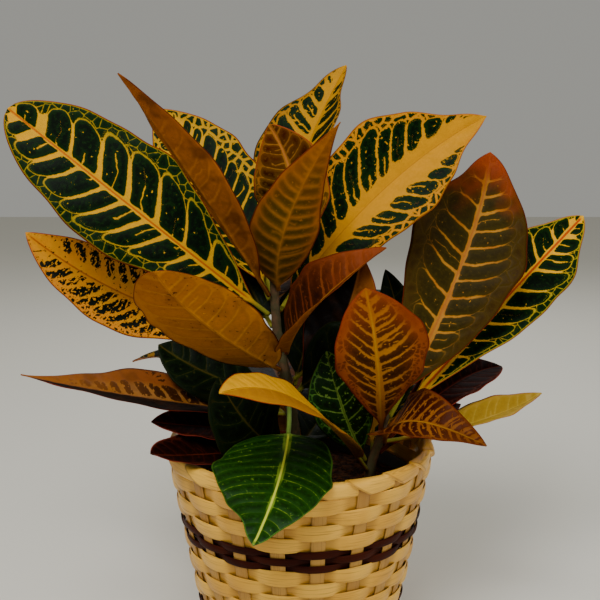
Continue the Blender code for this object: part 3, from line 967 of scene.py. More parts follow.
        stalk_part = grid.neck * np.sqrt(np.clip(1 - out**2, 0, 1))
        blade_part = self.THICK / 2 * np.sqrt(np.clip(1 - out**8, 0, 1))
        body = (1 - grid.flat) * stalk_part + grid.flat * blade_part
        groove = self.GROOVE * np.exp(-((grid.across / self.GROOVE_HALF) ** 2)) * grid.flat
        rib = self.RIB * (1 - 0.75 * inside) * np.exp(-((grid.across / self.RIB_HALF) ** 2))
        up, down = lift + body - groove, lift - body - rib * grid.flat

        points, sideways, normals = (part[:, None, :] for part in self.frames(grid.shares))
        reach = grid.across * (1 - (1 - cos(fold)) * grid.flat)
        base = points + sideways * reach[..., None]
        upper, lower = base + normals * up[..., None], base + normals * down[..., None]
        return np.concatenate([upper, lower[:, -2:0:-1]], axis=1)

    def build(self, number: int, faces: dict[Look, Material]) -> Object:
        """Makes the leaf with its veins, waves and both faces.

        Args:
            number: the leaf's place in the table, which seeds its chance values.
            faces: the materials by look.

        Returns:
            The leaf's piece.
        """
        grid = self.grid(np.random.default_rng(self.FIRST_SEED + number))
        mesh = rings_mesh(self.name, self.rings(grid), faces[self.upper], faces[self.under])
        gap = self.spacing * sin(radians(self.angle)) * (1 + self.uneven * np.sign(grid.x))
        stored = {"blade": (grid.run, grid.across, grid.along), "cell": (grid.count, grid.half, gap)}
        for title, parts in stored.items():
            values = np.stack(np.broadcast_arrays(*parts), axis=2)
            values = np.concatenate([values, values[:, -2:0:-1]], axis=1)
            layer = mesh.attributes.new(title, "FLOAT_VECTOR", "POINT")
            layer.data.foreach_set("vector", values.astype(np.float32).ravel())
        layer = mesh.attributes.new("leaf", "FLOAT", "POINT")
        layer.data.foreach_set("value", np.full(len(mesh.vertices), number + 1.0, np.float32))

        columns = grid.x.size - 1
        for polygon in mesh.polygons:
            if len(polygon.vertices) == 4:
                last = max(vertex % (2 * columns) for vertex in polygon.vertices)
                polygon.material_index = 0 if last <= columns else 1
        return new_piece("croton_" + self.name, mesh, "leaf_" + self.name)


def leaf_table() -> tuple[Leaf, ...]:
    """Every leaf: the crown of the main stem, the side stem, then the side away from the light."""
    look = Look
    return (
        Leaf("purple_tip", MAIN, 244, (-19, -10, 341), (15, 5, 0), 50, (-0.2, -1, 0.2), "purple",
             look.MAROON_RIB, look.COPPER_RED, fold=16, belly=0.6, spacing=9),
        Leaf("top_yellow", MAIN, 241, (32, 75, 381), (-10, 4, -2), 74, (-0.75, -0.75, 0.1),
             "yellow", look.CREST, look.GOLDEN, fold=22, spacing=13, drip=0.2),
        Leaf("copper_front", MAIN, 237, (23, -50, 342), (-12, -3, -5), 42, (0.1, 0.75, 0.6),
             "copper", look.PURPLE, look.COPPER_RIBBED, stalk=0.04, belly=0.4, tip_fullness=1.1,
             spacing=7.5, angle=80),
        Leaf("copper_spear", MAIN, 233, (-99, -70, 368), (3, -4, 0), 44, (0.35, 0.3, 0.8),
             "copper", look.PURPLE, look.COPPER_RED, fold=18),
        Leaf("tall_left", MAIN, 229, (-100, 66, 351), (6, 3, 4), 66, (0.1, -1, 0.35), "green",
             look.TALL, look.OLIVE_BACK, spacing=13, angle=58),
        Leaf("broad_right", MAIN, 225, (121, 28, 346), (-1, 7, 13), 74, (-0.1, -1, 0.3),
             "yellow", look.GOLD, look.GOLDEN, fold=14, stalk=0.04, belly=0.5, spacing=13.5,
             angle=60, uneven=0.05, tip_fullness=1.0, lean=-0.12, drip=0.2),
        Leaf("broad_left", MAIN, 220, (-187, 20, 351), (-2, 0, 1), 75, (0.15, -1, 0.25), "green",
             look.NET, look.OLIVE_BACK, fold=4, stalk=0.05, belly=0.54, tip_fullness=0.55,
             spacing=20.5, angle=62, lean=0.07, uneven=0.14),
        Leaf("spotted_left", MAIN, 205, (-193, 66, 266), (-8, 9, -13), 55, (0.1, -1, 0.5),
             "yellow", look.SPOTTED, look.GOLDEN, spacing=12, angle=60),
        Leaf("copper_centre", MAIN, 195, (51, -42, 269), (-12, -17, 1), 46, (-0.5, -0.4, 0.6),
             "copper", look.FOLDED, look.COPPER, fold=34, stalk=0.04, spacing=10,
             base_fullness=0.5),
        Leaf("copper_left", MAIN, 184, (-79, -88, 262), (-10, -8, 3), 62, (0.15, 0.9, 0.5),
             "copper", look.PURPLE, look.COPPER_SPOT, stalk=0.04, tip_fullness=0.5, fold=4,
             spacing=14, base_fullness=0.46),
        Leaf("bronze_behind", MAIN, 176, (41, 22, 255), (7, 0, -9), 50, (-0.3, -0.8, 0.4),
             "shade", look.BRONZE, look.DARK_BACK),
        Leaf("green_front", MAIN, 160, (-25, -126, 120), (6, -10, 5), 68, (0.0, -0.5, 0.9),
             "green", look.GLOSSY, look.OLIVE_BACK, fold=3, stalk=0.27, belly=0.4,
             base_fullness=0.5, tip_fullness=0.85, drip=0.25, spacing=7.5, angle=76, lean=0.12),
        Leaf("shade_left", MAIN, 162, (-92, 2, 200), (-5, -4, -1), 46, (0.2, -0.7, 0.7), "shade",
             look.SHADE, look.DARK_BACK),
        Leaf("long_left", MAIN, 152, (-171, -36, 190), (-7, -14, 3), 42, (0.05, -0.3, 0.95),
             "copper", look.BRONZE, look.COPPER_RED, belly=0.4, tip_fullness=1.5, spacing=9.5,
             lean=0.22),
        Leaf("small_left_high", MAIN, 139, (-93, -30, 158), (-6, -5, 2), 34, (0.0, -0.4, 0.9),
             "purple", look.PURPLE, look.DARK_BACK, spacing=8),
        Leaf("small_left_low", MAIN, 130, (-88, -66, 150), (-13, -8, 0), 34, (0.0, -0.4, 0.9),
             "purple", look.PURPLE, look.DARK_BACK, spacing=8),
        Leaf("shade_front", MAIN, 124, (-50, -34, 188), (-3, -17, 0), 52, (0.25, -0.9, 0.5),
             "shade", look.SHADE, look.DARK_BACK),
        Leaf("olive_right", SIDE, 153, (131, 62, 322), (14, 3, 12), 78, (0.0, -1, 0.3), "olive",
             look.OLIVE, look.DARK_BACK, fold=8, spacing=14.5, angle=70, tip_fullness=0.85,
             drip=0.16, uneven=-0.15),
        Leaf("green_right", SIDE, 146, (204, 84, 276), (9, 8, 8), 56, (-0.2, -1, 0.4), "green",
             look.RIGHT, look.OLIVE_BACK, spacing=18, angle=60, belly=0.58, tip_fullness=0.82,
             drip=0.14),
        Leaf("orange_upright", SIDE, 144, (38, -55, 247), (1, -19, 6), 57, (0.1, -1, 0.1),
             "orange", look.ORANGE, look.COPPER_RED, fold=8, stalk=0.05, spacing=8, angle=56,
             turned=12, belly=0.56, base_fullness=1.1, lean=0.1),
        Leaf("dark_behind", SIDE, 140, (58, 38, 244), (11, 3, 0), 34, (-0.2, -1, 0.2), "shade",
             look.SHADE, look.DARK_BACK),
        Leaf("orange_arch", SIDE, 138, (109, -70, 156), (-14, -7, 17), 46, (0.0, -0.6, 0.8),
             "orange", look.STRIPED, look.COPPER, fold=20, belly=0.36, spacing=6),
        Leaf("yellow_right", SIDE, 137, (158, 0, 168), (8, -1, -3), 34, (0.0, -0.15, 1),
             "yellow", look.PALE, look.GOLDEN, fold=20, spacing=8),
        Leaf("dark_right", SIDE, 134, (142, 50, 173), (5, 1, 13), 42, (0.0, -0.3, 0.95),
             "purple", look.PURPLE, look.DARK_BACK, spacing=9),
        Leaf("speckled_inner", SIDE, 124, (17, -8, 198), (-3, -14, 3), 40, (-0.2, -1, 0.3),
             "shade", look.SPECKLED, look.DARK_BACK, spacing=11),
        Leaf("yellow_arch", SIDE, 118, (-43, -112, 200), (-1, -12, 25), 50, (0.1, -0.3, 0.9),
             "yellow", look.BRIGHT, look.GOLDEN, spacing=8, lean=-0.3, base_fullness=0.5,
             fold=6),
        Leaf("back_high_left", MAIN, 231, (-52, 108, 318), (-6, 8, 12), 62, (0.2, -0.5, 0.8),
             "green", look.NET, look.OLIVE_BACK),
        Leaf("back_high_right", MAIN, 222, (78, 112, 296), (2, 6, 16), 60, (-0.2, -0.3, 0.9),
             "green", look.TALL, look.COPPER_RED),
        Leaf("crown_inner", MAIN, 211, (-50, 46, 266), (-4, 4, 4), 46, (0.2, -0.9, 0.5), "shade",
             look.SHADE, look.OLIVE_BACK, base_fullness=0.5),
        Leaf("back_middle", MAIN, 207, (-28, 128, 236), (0, 6, 16), 56, (0.0, -0.3, 0.9),
             "orange", look.ORANGE, look.COPPER),
        Leaf("back_left", MAIN, 189, (-104, 110, 214), (-6, 8, 10), 56, (0.2, -0.3, 0.9),
             "yellow", look.GOLD, look.GOLDEN),
        Leaf("back_right", MAIN, 163, (96, 104, 214), (-4, 10, 14), 54, (-0.2, -0.3, 0.9),
             "shade", look.SPECKLED, look.OLIVE_BACK),
        Leaf("inner_right", MAIN, 167, (46, -2, 214), (0, -4, 2), 42, (-0.2, -0.8, 0.6), "shade",
             look.SHADE, look.DARK_BACK),
        Leaf("dark_centre", MAIN, 171, (32, 36, 250), (-4, 3, 0), 44, (-0.1, -1, 0.3), "shade",
             look.SHADE, look.DARK_BACK, lean=-0.25),
        Leaf("dark_low", MAIN, 127, (20, 76, 156), (6, 4, -2), 46, (0.0, -1, 0.6), "shade",
             look.SHADE, look.DARK_BACK),
        Leaf("back_low_left", MAIN, 150, (-124, 84, 168), (-4, 6, 16), 52, (0.1, -0.1, 1),
             "green", look.NET, look.COPPER),
        Leaf("back_low", MAIN, 142, (-34, 124, 148), (0, 4, 22), 50, (0.0, 0.0, 1), "copper",
             look.BRONZE, look.COPPER_RED),
        Leaf("left_low", MAIN, 134, (-130, 34, 160), (-4, 4, 10), 44, (0.0, -0.1, 1), "olive",
             look.OLIVE, look.DARK_BACK, spacing=9),
        Leaf("dark_low_right", SIDE, 128, (112, 38, 149), (2, 3, 4), 28, (0.0, -0.2, 1),
             "purple", look.PURPLE, look.DARK_BACK, spacing=8),
        Leaf("back_low_right", SIDE, 132, (108, 98, 150), (-2, 4, 22), 48, (0.0, 0.0, 1),
             "green", look.TALL, look.OLIVE_BACK),
        Leaf("back_small", SIDE, 126, (52, 102, 146), (0, -4, 12), 40, (0.0, 0.0, 1), "yellow",
             look.GOLD, look.GOLDEN, spacing=9),
    )


@dataclass(frozen=True)
class Foliage:
    """Both stems and every leaf."""

    leaves: tuple[Leaf, ...]
    stems: tuple[Stem, ...] = (MAIN, SIDE)

    def build(self) -> None:
        """Makes the stems, the materials in use and then each leaf."""
        bark = BarkFinish().material()
        for stem in self.stems:
            stem.build(bark)
        used = {face for leaf in self.leaves for face in (leaf.upper, leaf.under)}
        faces = {face: face.value.material() for face in Look if face in used}
        for number, leaf in enumerate(self.leaves):
            leaf.build(number, faces)


# ---------------------------------------------------------------- basket


class GeometryTool(Recipe):
    """A Geometry Nodes tree under construction, with named inputs, that is run to make meshes."""

    WELD = 0.02 * MM

    def __init__(self, name: str, inputs: str, **known: float) -> None:
        """Starts a tree.

        Args:
            name: the tree's name.
            inputs: its number inputs' names, which formulas write in lower case.
            known: constants that its formulas use.
        """
        super().__init__(bpy.data.node_groups.new(name, "GeometryNodeTree"), circle=2 * pi, **known)
        self.tree.interface.new_socket(
            "Geometry", in_out="OUTPUT", socket_type="NodeSocketGeometry"
        )
        self.entry = self.tree.nodes.new("NodeGroupInput")
        self.names: dict[str, str] = {}
        for title in inputs.split():
            self[title.lower()] = self.input(title, "Float")

    def input(self, name: str, kind: str) -> Socket:
        """Adds a named input.

        Args:
            name: its name.
            kind: its type, such as Float.

        Returns:
            The socket that carries it.
        """
        made = self.tree.interface.new_socket(
            name, in_out="INPUT", socket_type="NodeSocket" + kind
        )
        self.names[name] = made.identifier
        return self.entry.outputs[name]

    def repeat(self, shape: Socket, count: Socket | int) -> Socket:
        """Copies a shape, for formulas to move by the copy's number, "row".

        Args:
            shape: the geometry to copy.
            count: how many copies.

        Returns:
            The copies as real geometry, all in one place.
        """
        stored = {"data_type": "FLOAT", "domain": "POINT"}
        points = self.node("GeometryNodePoints", count)
        index = self.node("GeometryNodeInputIndex")
        points = self.node("GeometryNodeStoreNamedAttribute", points, None, "row", index, **stored)
        many = self.node("GeometryNodeInstanceOnPoints", points, None, shape)
        self["row"] = self.node("GeometryNodeInputNamedAttribute", "row", data_type="FLOAT")
        return self.node("GeometryNodeRealizeInstances", many)

    def wrap(self, shape: Socket, strip: str, weld: bool = True) -> None:
        """Lays a shape round the upright axis by "radius", "angle" and "height" and ends the tree.

        Args:
            shape: the geometry to move.
            strip: formula of the vector that the bamboo finish reads.
            weld: whether edges that meet are joined.
        """
        stored = {"data_type": "FLOAT_VECTOR", "domain": "POINT"}
        values = self(strip)
        place = self("(radius * cos(angle) * 0.001, radius * sin(angle) * 0.001, height * 0.001)")
        shape = self.node("GeometryNodeStoreNamedAttribute", shape, None, "strip", values, **stored)
        shape = self.node("GeometryNodeSetPosition", shape, None, place)
        if weld:
            shape = self.node("GeometryNodeMergeByDistance", shape, None, self.WELD)
        self.close(shape)

    def close(self, shape: Socket) -> None:
        """Ends the tree: shading, real geometry and the material input."""
        shape = self.node("GeometryNodeSetShadeSmooth", shape)
        shape = self.node("GeometryNodeRealizeInstances", shape)
        material = self.input("Material", "Material")
        self.node("NodeGroupOutput", self.node("GeometryNodeSetMaterial", shape, None, material))

    def make(self, name: str, material: Material, **values: float) -> Mesh:
        """Runs the tree once with values for its inputs.

        Args:
            name: the new mesh's name.
            material: what the Material input gets.
            values: numbers for the other inputs.

        Returns:
            The mesh, free of modifiers.
        """
        holder = bpy.data.objects.new("holder", bpy.data.meshes.new("holder"))
        bpy.context.scene.collection.objects.link(holder)
        modifier = holder.modifiers.new("build", "NODES")
        modifier.node_group = self.tree
        for key, value in {"Material": material, **values}.items():
            modifier[self.names[key]] = value
        holder.update_tag()
        graph = bpy.context.evaluated_depsgraph_get()
        mesh = bpy.data.meshes.new_from_object(holder.evaluated_get(graph))
        mesh.name = name
        holder.modifiers.clear()
        bpy.data.objects.remove(holder)
        return mesh


def joined(name: str, meshes: list[Mesh]) -> Mesh:
    """Joins meshes with their materials and attributes.

    Args:
        name: the new mesh's name.
        meshes: what to join.

    Returns:
        One mesh.
    """
    holders = [bpy.data.objects.new("part", mesh) for mesh in meshes]
    for holder in holders:
        bpy.context.scene.collection.objects.link(holder)
        holder.select_set(True)
    bpy.context.view_layer.objects.active = holders[0]
    with bpy.context.temp_override(
        active_object=holders[0], selected_editable_objects=holders, selected_objects=holders
    ):
        bpy.ops.object.join()
    mesh = holders[0].data
    bpy.data.objects.remove(holders[0])
    mesh.name = name
    return mesh


@dataclass(frozen=True)
class BambooFinish:
    """Split bamboo strip: straight fibres under a hard satin skin, so light runs along it.

    The attribute "strip" holds the place across a strip, its row and how far out it swings; where
    it swings in, behind a stave, the colour is laid towards dark as painted shade, and the border
    puts a painted shadow line in that place instead.
    Sizes are millimetres. A strip changes tone over tone_run, and over upright_run where it
    stands upright. Its fibres lie fibre_gap apart, coarser than real ones so that they can be
    seen, and run on for fibre_run, or for fibre_rise upward.
    """

    name: str
    pale: str
    deep: str
    dark: str
    rough: float = 0.38
    coat: float = 0.12
    sheen: float = 0.25
    upright: bool = False
    tone_run: float = 35.71
    upright_run: float = 55.56
    fibre_gap: float = 0.4762
    fibre_run: float = 22.22
    fibre_rise: float = 83.33

    COAT_ROUGH = 0.3
    RELIEF_DEPTH = 0.3 * MM

    def material(self) -> Material:
        """The finish as a node material."""
        work = Paint(**vars(self))
        work["x y z"] = work.node("ShaderNodeTexCoord", out=3)
        strip = work.node("ShaderNodeAttribute", out=1, attribute_name="strip")
        work["across row over"] = strip
        along = "z * 1000 / upright_run" if self.upright else "row * 7.3"
        tone = work(f"(x * 1000 / tone_run + row * 3.1, y * 1000 / tone_run, {along})")
        fibre = work(
            "(x * 1000 / fibre_run + row * 5.3,"
            " y * 1000 / fibre_run + z * 1000 / fibre_rise, across / fibre_gap)"
        )
        finer = work.node("ShaderNodeVectorMath", fibre, (1.0, 1.0, 3.4), operation="MULTIPLY")
        work["patchy"] = work.node("ShaderNodeTexNoise", tone, None, 1.0, 2.0)
        work["grain"] = work.node("ShaderNodeTexNoise", fibre, None, 1.0, 3.0)
        work["fine"] = work.node("ShaderNodeTexNoise", finer, None, 1.0, 2.0)
        work["skin"] = "lay(step(patchy, 0.35, 0.65), pale, deep)"
        work["skin"] = "lay(step(grain, 0.5, 0.72) * 0.55, skin, dark)"
        # Painted shade: darker where a strip swings in behind a stave, and along the border's painted
        # shadow line.
        work["skin"] = "lay(step(over, 0.2, -0.8) * 0.5, skin, dark)"
        return work.close(
            work("skin"), work("rough + (grain - 0.5) * 0.25"),
            (0.4, self.RELIEF_DEPTH, work("grain * 0.6 + fine * 0.4")),
            Coat_Weight=self.coat, Coat_Roughness=self.COAT_ROUGH, Specular_IOR_Level=self.sheen,
        )


@dataclass(frozen=True)
class BaseFinish:
    """Split bamboo woven flat at right angles: dull strips, laid dark as painted shade where they dip
    at their edges.
    """

    name: str = "bamboo_base_weave"
    pale: str = "#e0a840"
    deep: str = "#a5742c"
    dark: str = "#94601e"
    wide: float = 8.7

    def material(self) -> Material:
        """The finish as a node material."""
        work = Paint(**vars(self))
        work["x y z"] = work.node("ShaderNodeTexCoord", out=3)
        work["u"] = "x * 1000 / wide"
        work["v"] = "y * 1000 / wide"
        work["over"] = "above(0.25, fract((floor(u) + floor(v)) * 0.5))"
        work["a"] = "abs(fract(u) - 0.5) * 2"
        work["b"] = "abs(fract(v) - 0.5) * 2"
        work["rise"] = "over * (1 - b * b * 0.6 - a ** 8) + (1 - over) * (1 - a * a * 0.6 - b ** 8)"
        fibre = work("(u * (1 + 30 * over), v * (31 - 30 * over), 0)")
        work["grain"] = work.node("ShaderNodeTexNoise", fibre, None, 1.0, 2.0)
        # Painted shade: dark where a strip dips at its edges and under the strip that crosses it.
        work["skin"] = "lay(step(rise, -0.1, 0.5), dark, pale)"
        work["skin"] = "lay(step(grain, 0.5, 0.8) * 0.5, skin, deep)"
        return work.close(work("skin"), 0.5, (0.6, 0.6 * MM, work("rise")))


@dataclass(frozen=True)
class Course:
    """Some rows of weavers: how many, the height of the top edge and of the whole course."""

    name: str
    rows: int
    top: float
    tall: float
    first_row: int
    brown: bool = False


@dataclass(frozen=True)
class Basket:
    """Plain-woven tapered basket with a wrapped border. Millimetres.

    lap is how wide a strip is to the height of its row, fray how unevenly it lies there, swing
    how far it bends out and in, and wrap_radius the border's, by which its strips slant. LOOSE
    holds how far a weaver departs from the rule: in width and in lean by a share, in depth by
    stray, in height by drift of its row, and crown, the share of its width that it bulges.
    """

    foot_radius: float = 63.0
    slope: float = (88.5 - 63.0) / 138.0
    staves: int = 20
    first_stave: float = radians(-82.2)
    stave_foot: float = 0.4
    stave_depth: float = 2.1
    stave_width: float = 8.7
    stave_thick: float = 0.9
    swing: float = 1.25
    strip_thick: float = 0.9
    lap: float = 1.24
    brown_lap: float = 1.12
    fray: float = 1.0
    brown_fray: float = 1.2
    border_height: float = 132.75
    border_half: float = 5.3
    border_thick: float = 2.9
    border_inset: float = 3.2
    border_step: float = 2.8
    border_slant: float = 33.0
    wrap_radius: float = 88.0
    courses: tuple = (
        Course("natural_top", 4, 127.2, 33.4, 0),
        Course("upper", 3, 93.8, 14.5, 4, brown=True),
        Course("natural_middle", 5, 79.3, 42.5, 7),
        Course("lower", 3, 36.8, 14.5, 12, brown=True),
        Course("natural_foot", 3, 22.3, 22.3, 15),
    )

    NATURAL = BambooFinish("bamboo_natural", "#ecb642", "#d69c30", "#8a5818")
    STAVE = BambooFinish(
        "bamboo_stave", "#b98a3c", "#a5742c", "#7a4f1a", rough=0.5, upright=True
    )
    BROWN = BambooFinish(
        "bamboo_stained_brown", "#3c1203", "#2a0801", "#120300", rough=0.5, coat=0.0, sheen=0.06
    )
    LOOSE = dict(uneven=0.24, lean=0.34, stray=0.5, drift=0.14, crown=0.045)
    AROUND = 401
    ABOUT_A_STRIP = 17
    AROUND_BORDER_STRIP = 36
    ABOUT_BORDER = 33

    def tool(self, name: str, inputs: str, **known: float) -> GeometryTool:
        """Starts a tree whose formulas know the wall's taper and staves.

        Args:
            name: the tree's name.
            inputs: its number inputs' names.
            known: more constants for its formulas.

        Returns:
            The tree.
        """
        shared = dict(foot=self.foot_radius, slope=self.slope, depth=self.stave_depth)
        turns = dict(staves=float(self.staves), start=self.first_stave)
        return GeometryTool(name, inputs, **shared, **turns, **known)

    def row_tool(self) -> GeometryTool:
        """Tree for rows of weavers that pass over and under the staves."""
        sizes = "Top Pitch Rows First Width Thick Swing Fray"
        work = self.tool("woven_rows", sizes, **self.LOOSE)
        band = work.node("GeometryNodeMeshGrid", 1.0, 1.0, self.AROUND, self.ABOUT_A_STRIP)
        many = work.repeat(band, work("rows"))
        work["x y z"] = work.node("GeometryNodeInputPosition")
        work["number"] = "row + first"
        work["angle"] = "(x + 0.5) * circle"
        work["turn"] = "(y + 0.5) * circle"
        work["mid"] = "top - pitch * (row + 0.5)"
        chance = work("(cos(angle) * 2.2, sin(angle) * 2.2, number * 4.7)")
        loose = work.node("ShaderNodeTexNoise", chance, None, 1.0, 1.0, out=1)
        work["loose_a loose_b loose_c"] = loose
        work["wave"] = "cos((angle - start) * staves * 0.5 + number * circle * 0.5)"
        work["over"] = "wave * (1.3 - 0.3 * wave * wave)"
        work["wide"] = "width * (0.9 + 0.1 * abs(over)) * (1 + (loose_a - 0.5) * uneven)"
        work["side"] = "cos(turn)"
        work["flare"] = "1 - side ** 2"
        work["v"] = "wide * 0.5 * side * (1.35 - 0.35 * side * side)"
        work["out"] = (
            "thick * 0.5 * sin(turn) * (0.45 + 0.55 * sqrt(max(flare, 0)))"
            " + swing * over + crown * width * flare * (0.5 + over * 0.5)"
            " + v * (loose_b - 0.5) * lean + (loose_c - 0.5) * stray"
        )
        work["height"] = "max(mid + v + (loose_c - 0.5) * pitch * drift * fray, 0)"
        work["radius"] = "foot + slope * height - depth + out"
        # The swing, over, goes to the finish as the strip's third part, and the finish paints shade
        # where it is low.
        work.wrap(many, "(v, number, over)")
        return work

    def stave_tool(self) -> GeometryTool:
        """Tree for the flat upright staves round the wall."""
        work = self.tool("upright_staves", "Low High Width Thick")
        bar = work.node("GeometryNodeMeshCube", (1.0, 1.0, 1.0), 11, 3, 60)
        many = work.repeat(bar, self.staves)
        work["x y z"] = work.node("GeometryNodeInputPosition")
        work["height"] = "low + (high - low) * (z + 0.5)"
        work["v"] = "x * width * (1 + sin(row * 5.1) * 0.05)"
        work["out"] = "y * thick * (1 - 1.6 * x * x) + 0.25 - x * x * 0.8"
        work["radius"] = "foot + slope * height - depth + out"
        work["angle"] = "start + row * circle / staves + v / radius + sin(row * 7.7) * 0.006"
        # A fixed swing of 0.3 keeps the finish's painted shade off the staves.
        work.wrap(many, "(v, row + 40, 0.3)", weld=False)
        return work

    def border_tool(self) -> GeometryTool:
        """Tree for the border: flat canes laid one over the next at a slant."""
        work = self.tool(
            "wrapped_border", "Height Half Thick Step", wrap=self.wrap_radius,
            reach=self.foot_radius + self.slope * self.border_height - self.border_inset,
            slant=tan(radians(self.border_slant)),
        )
        sides = (self.staves * self.AROUND_BORDER_STRIP + 1, self.ABOUT_BORDER)
        ring = work.node("GeometryNodeMeshGrid", 1.0, 1.0, *sides)
        work["x y z"] = work.node("GeometryNodeInputPosition")
        work["turn"] = "(y + 0.5) * circle"
        work["up"] = "sin(turn) * (1.3 - 0.3 * sin(turn) * sin(turn))"
        work["face"] = "cos(turn) * (1.25 - 0.25 * cos(turn) * cos(turn))"
        work["count"] = "(x + 0.5) * staves + 0.0001"
        work["phase"] = "fract(count)"
        work["number"] = "floor(count)"
        work["late"] = "sin(number * 2.9) * 0.5 + sin(number * 5.3) * 0.5"
        work["lift"] = "step * (1 - phase) ** 1.4 * (1 + late * 0.25)"
        work["out"] = "thick * face + lift * max(face, -0.2) + slope * up * half - 0.55 * step"
        work["rise"] = "half * up * (1 + late * 0.05) + (0.4 - phase) * 0.9 * max(up, 0)"
        work["height"] = "height + rise"
        work["radius"] = "reach + out"
        work["angle"] = "start + 0.06 + (x + 0.5) * circle - (up + 1) * half / slant / wrap"
        # Painted shadow: a dark line at the step where one cane laps the next, sent to the finish where
        # the wall's strips send their swing.
        work["shadow"] = "1 - phase * 0.5 - above(0.06, phase) * 1.6"
        work.wrap(ring, "(half * up + face * 2 + phase * 1.5, number + 80, shadow)")
        return work

    def brown_weavers(
        self, rows: GeometryTool, brown: Material, course: Course, **sizes: float
    ) -> None:
        """Makes each strip of a brown course a piece of its own.

        Args:
            rows: the tree for rows of weavers.
            brown: their material.
            course: how many there are and where.
            sizes: what else the tree's inputs get.
        """
        for row in range(course.rows):
            name = f"brown_weaver_{course.name}_{row + 1}"
            top, first = course.top - sizes["Pitch"] * row, float(course.first_row + row)
            mesh = rows.make(name, brown, Rows=1, Top=top, First=first, **sizes)
            new_piece("woven_" + name, mesh, name)

    def build(self) -> None:
        """Makes the wall, the brown weavers, the border and the base's finish."""
        natural, brown = self.NATURAL.material(), self.BROWN.material()
        rows = self.row_tool()
        wall = []
        for course in self.courses:
            pitch = course.tall / course.rows
            sizes = dict(Pitch=pitch, Thick=self.strip_thick, Swing=self.swing)
            if course.brown:
                sizes.update(Width=pitch * self.brown_lap, Fray=self.brown_fray)
                self.brown_weavers(rows, brown, course, **sizes)
            else:
                sizes.update(Width=pitch * self.lap, Fray=self.fray)
                places = dict(Top=course.top, Rows=course.rows, First=float(course.first_row))
                wall.append(rows.make(course.name, natural, **places, **sizes))
        wall.append(self.stave_tool().make(
            "staves", self.STAVE.material(), Low=self.stave_foot, High=self.border_height,
            Width=self.stave_width, Thick=self.stave_thick,
        ))
        new_piece("woven_wall", joined("woven_wall", wall), "basket_wall")
        ring = self.border_tool().make(
            "wrapped_border", natural, Height=self.border_height, Half=self.border_half,
            Thick=self.border_thick, Step=self.border_step,
        )
        new_piece("wrapped_border", ring, "basket_rim")
        woven = BaseFinish(wide=self.stave_width).material()
        for place in bpy.data.objects["basket_base"].material_slots:
            place.material = woven


# ---------------------------------------------------------------- pot and potting mix


@dataclass(frozen=True)
class PotFinish:
    """Moulded polypropylene with a matt spark-eroded skin: near black and faintly uneven.

    grain_size is millimetres, coarser than the real grain so that it shows.
    """

    name: str = "nursery_pot_polypropylene"
    black: str = "#1a1613"
    grain_size: float = 0.6667

    def material(self) -> Material:
        """The finish as a node material."""
        work = Paint(**vars(self))
        place = work.node("ShaderNodeTexCoord", out=3)
        grain = work.node("ShaderNodeTexNoise", place, None, 1 / (self.grain_size * MM), 2.0)
        return work.close(self.black, 0.5, (0.25, 0.2 * MM, grain))


@dataclass(frozen=True)
class Pot:
    """Thin moulded nursery pot. Millimetres."""

    floor: float = 3.3
    top: float = 113.0
    foot_radius: float = 54.0
    foot_edge: float = 1.5
    rim_radius: float = 75.5
    rim_edge: float = 0.6
    wall: float = 1.6
    lip: float = 2.0
    lip_height: float = 9.0
    axis_hole: float = 1.0
    sides: int = 96

    def build(self) -> None:
        """Makes the pot as one turned skin."""
        foot, rim, top, floor, wall = self.foot_radius, self.rim_radius, self.top, self.floor, self.wall
        flare = (rim - self.lip - foot) / (top - floor)
        ledge = top - self.lip_height
        neck = foot + flare * (ledge - floor)
        outside = [
            (self.axis_hole, floor), (foot - self.foot_edge, floor), (foot - 0.4, floor + 0.4),
            (foot, floor + self.foot_edge), (neck, ledge), (neck + self.lip, ledge + 0.2),
            (rim - 0.1, top - self.rim_edge), (rim - 0.5, top),
        ]
        inside = [
            (rim - wall + 0.4, top), (rim - wall, top - self.rim_edge),
            (foot - wall + 0.3, floor + 2.5), (foot - wall - self.foot_edge, floor + wall),
            (self.axis_hole, floor + wall),
        ]
        rings = turned(outside + inside, self.sides)
        mesh = rings_mesh("nursery_pot", rings, PotFinish().material())
        new_piece("moulded_pot", mesh, "nursery_pot")


@dataclass(frozen=True)
class SoilFinish:
    """Composted bark, brown with redder lumps: matt, so it looks dark and rough.

    lump_size and grain_size are millimetres.
    """

    name: str = "composted_bark"
    brown: str = "#2e1a0a"
    red: str = "#5c3410"
    lump_size: float = 3.846
    grain_size: float = 0.5882

    def material(self) -> Material:
        """The finish as a node material."""
        work = Paint(**vars(self))
        place = work.node("ShaderNodeTexCoord", out=3)
        lumps, grains = 1 / (self.lump_size * MM), 1 / (self.grain_size * MM)
        work["lump"] = work.node("ShaderNodeTexNoise", place, None, lumps, 2.0)
        grain = work.node("ShaderNodeTexNoise", place, None, grains, 3.0)
        colour = work("lay(step(lump, 0.42, 0.62), brown, red)")
        return work.close(colour, 0.9, (0.8, 0.6 * MM, grain), Specular_IOR_Level=0.2)


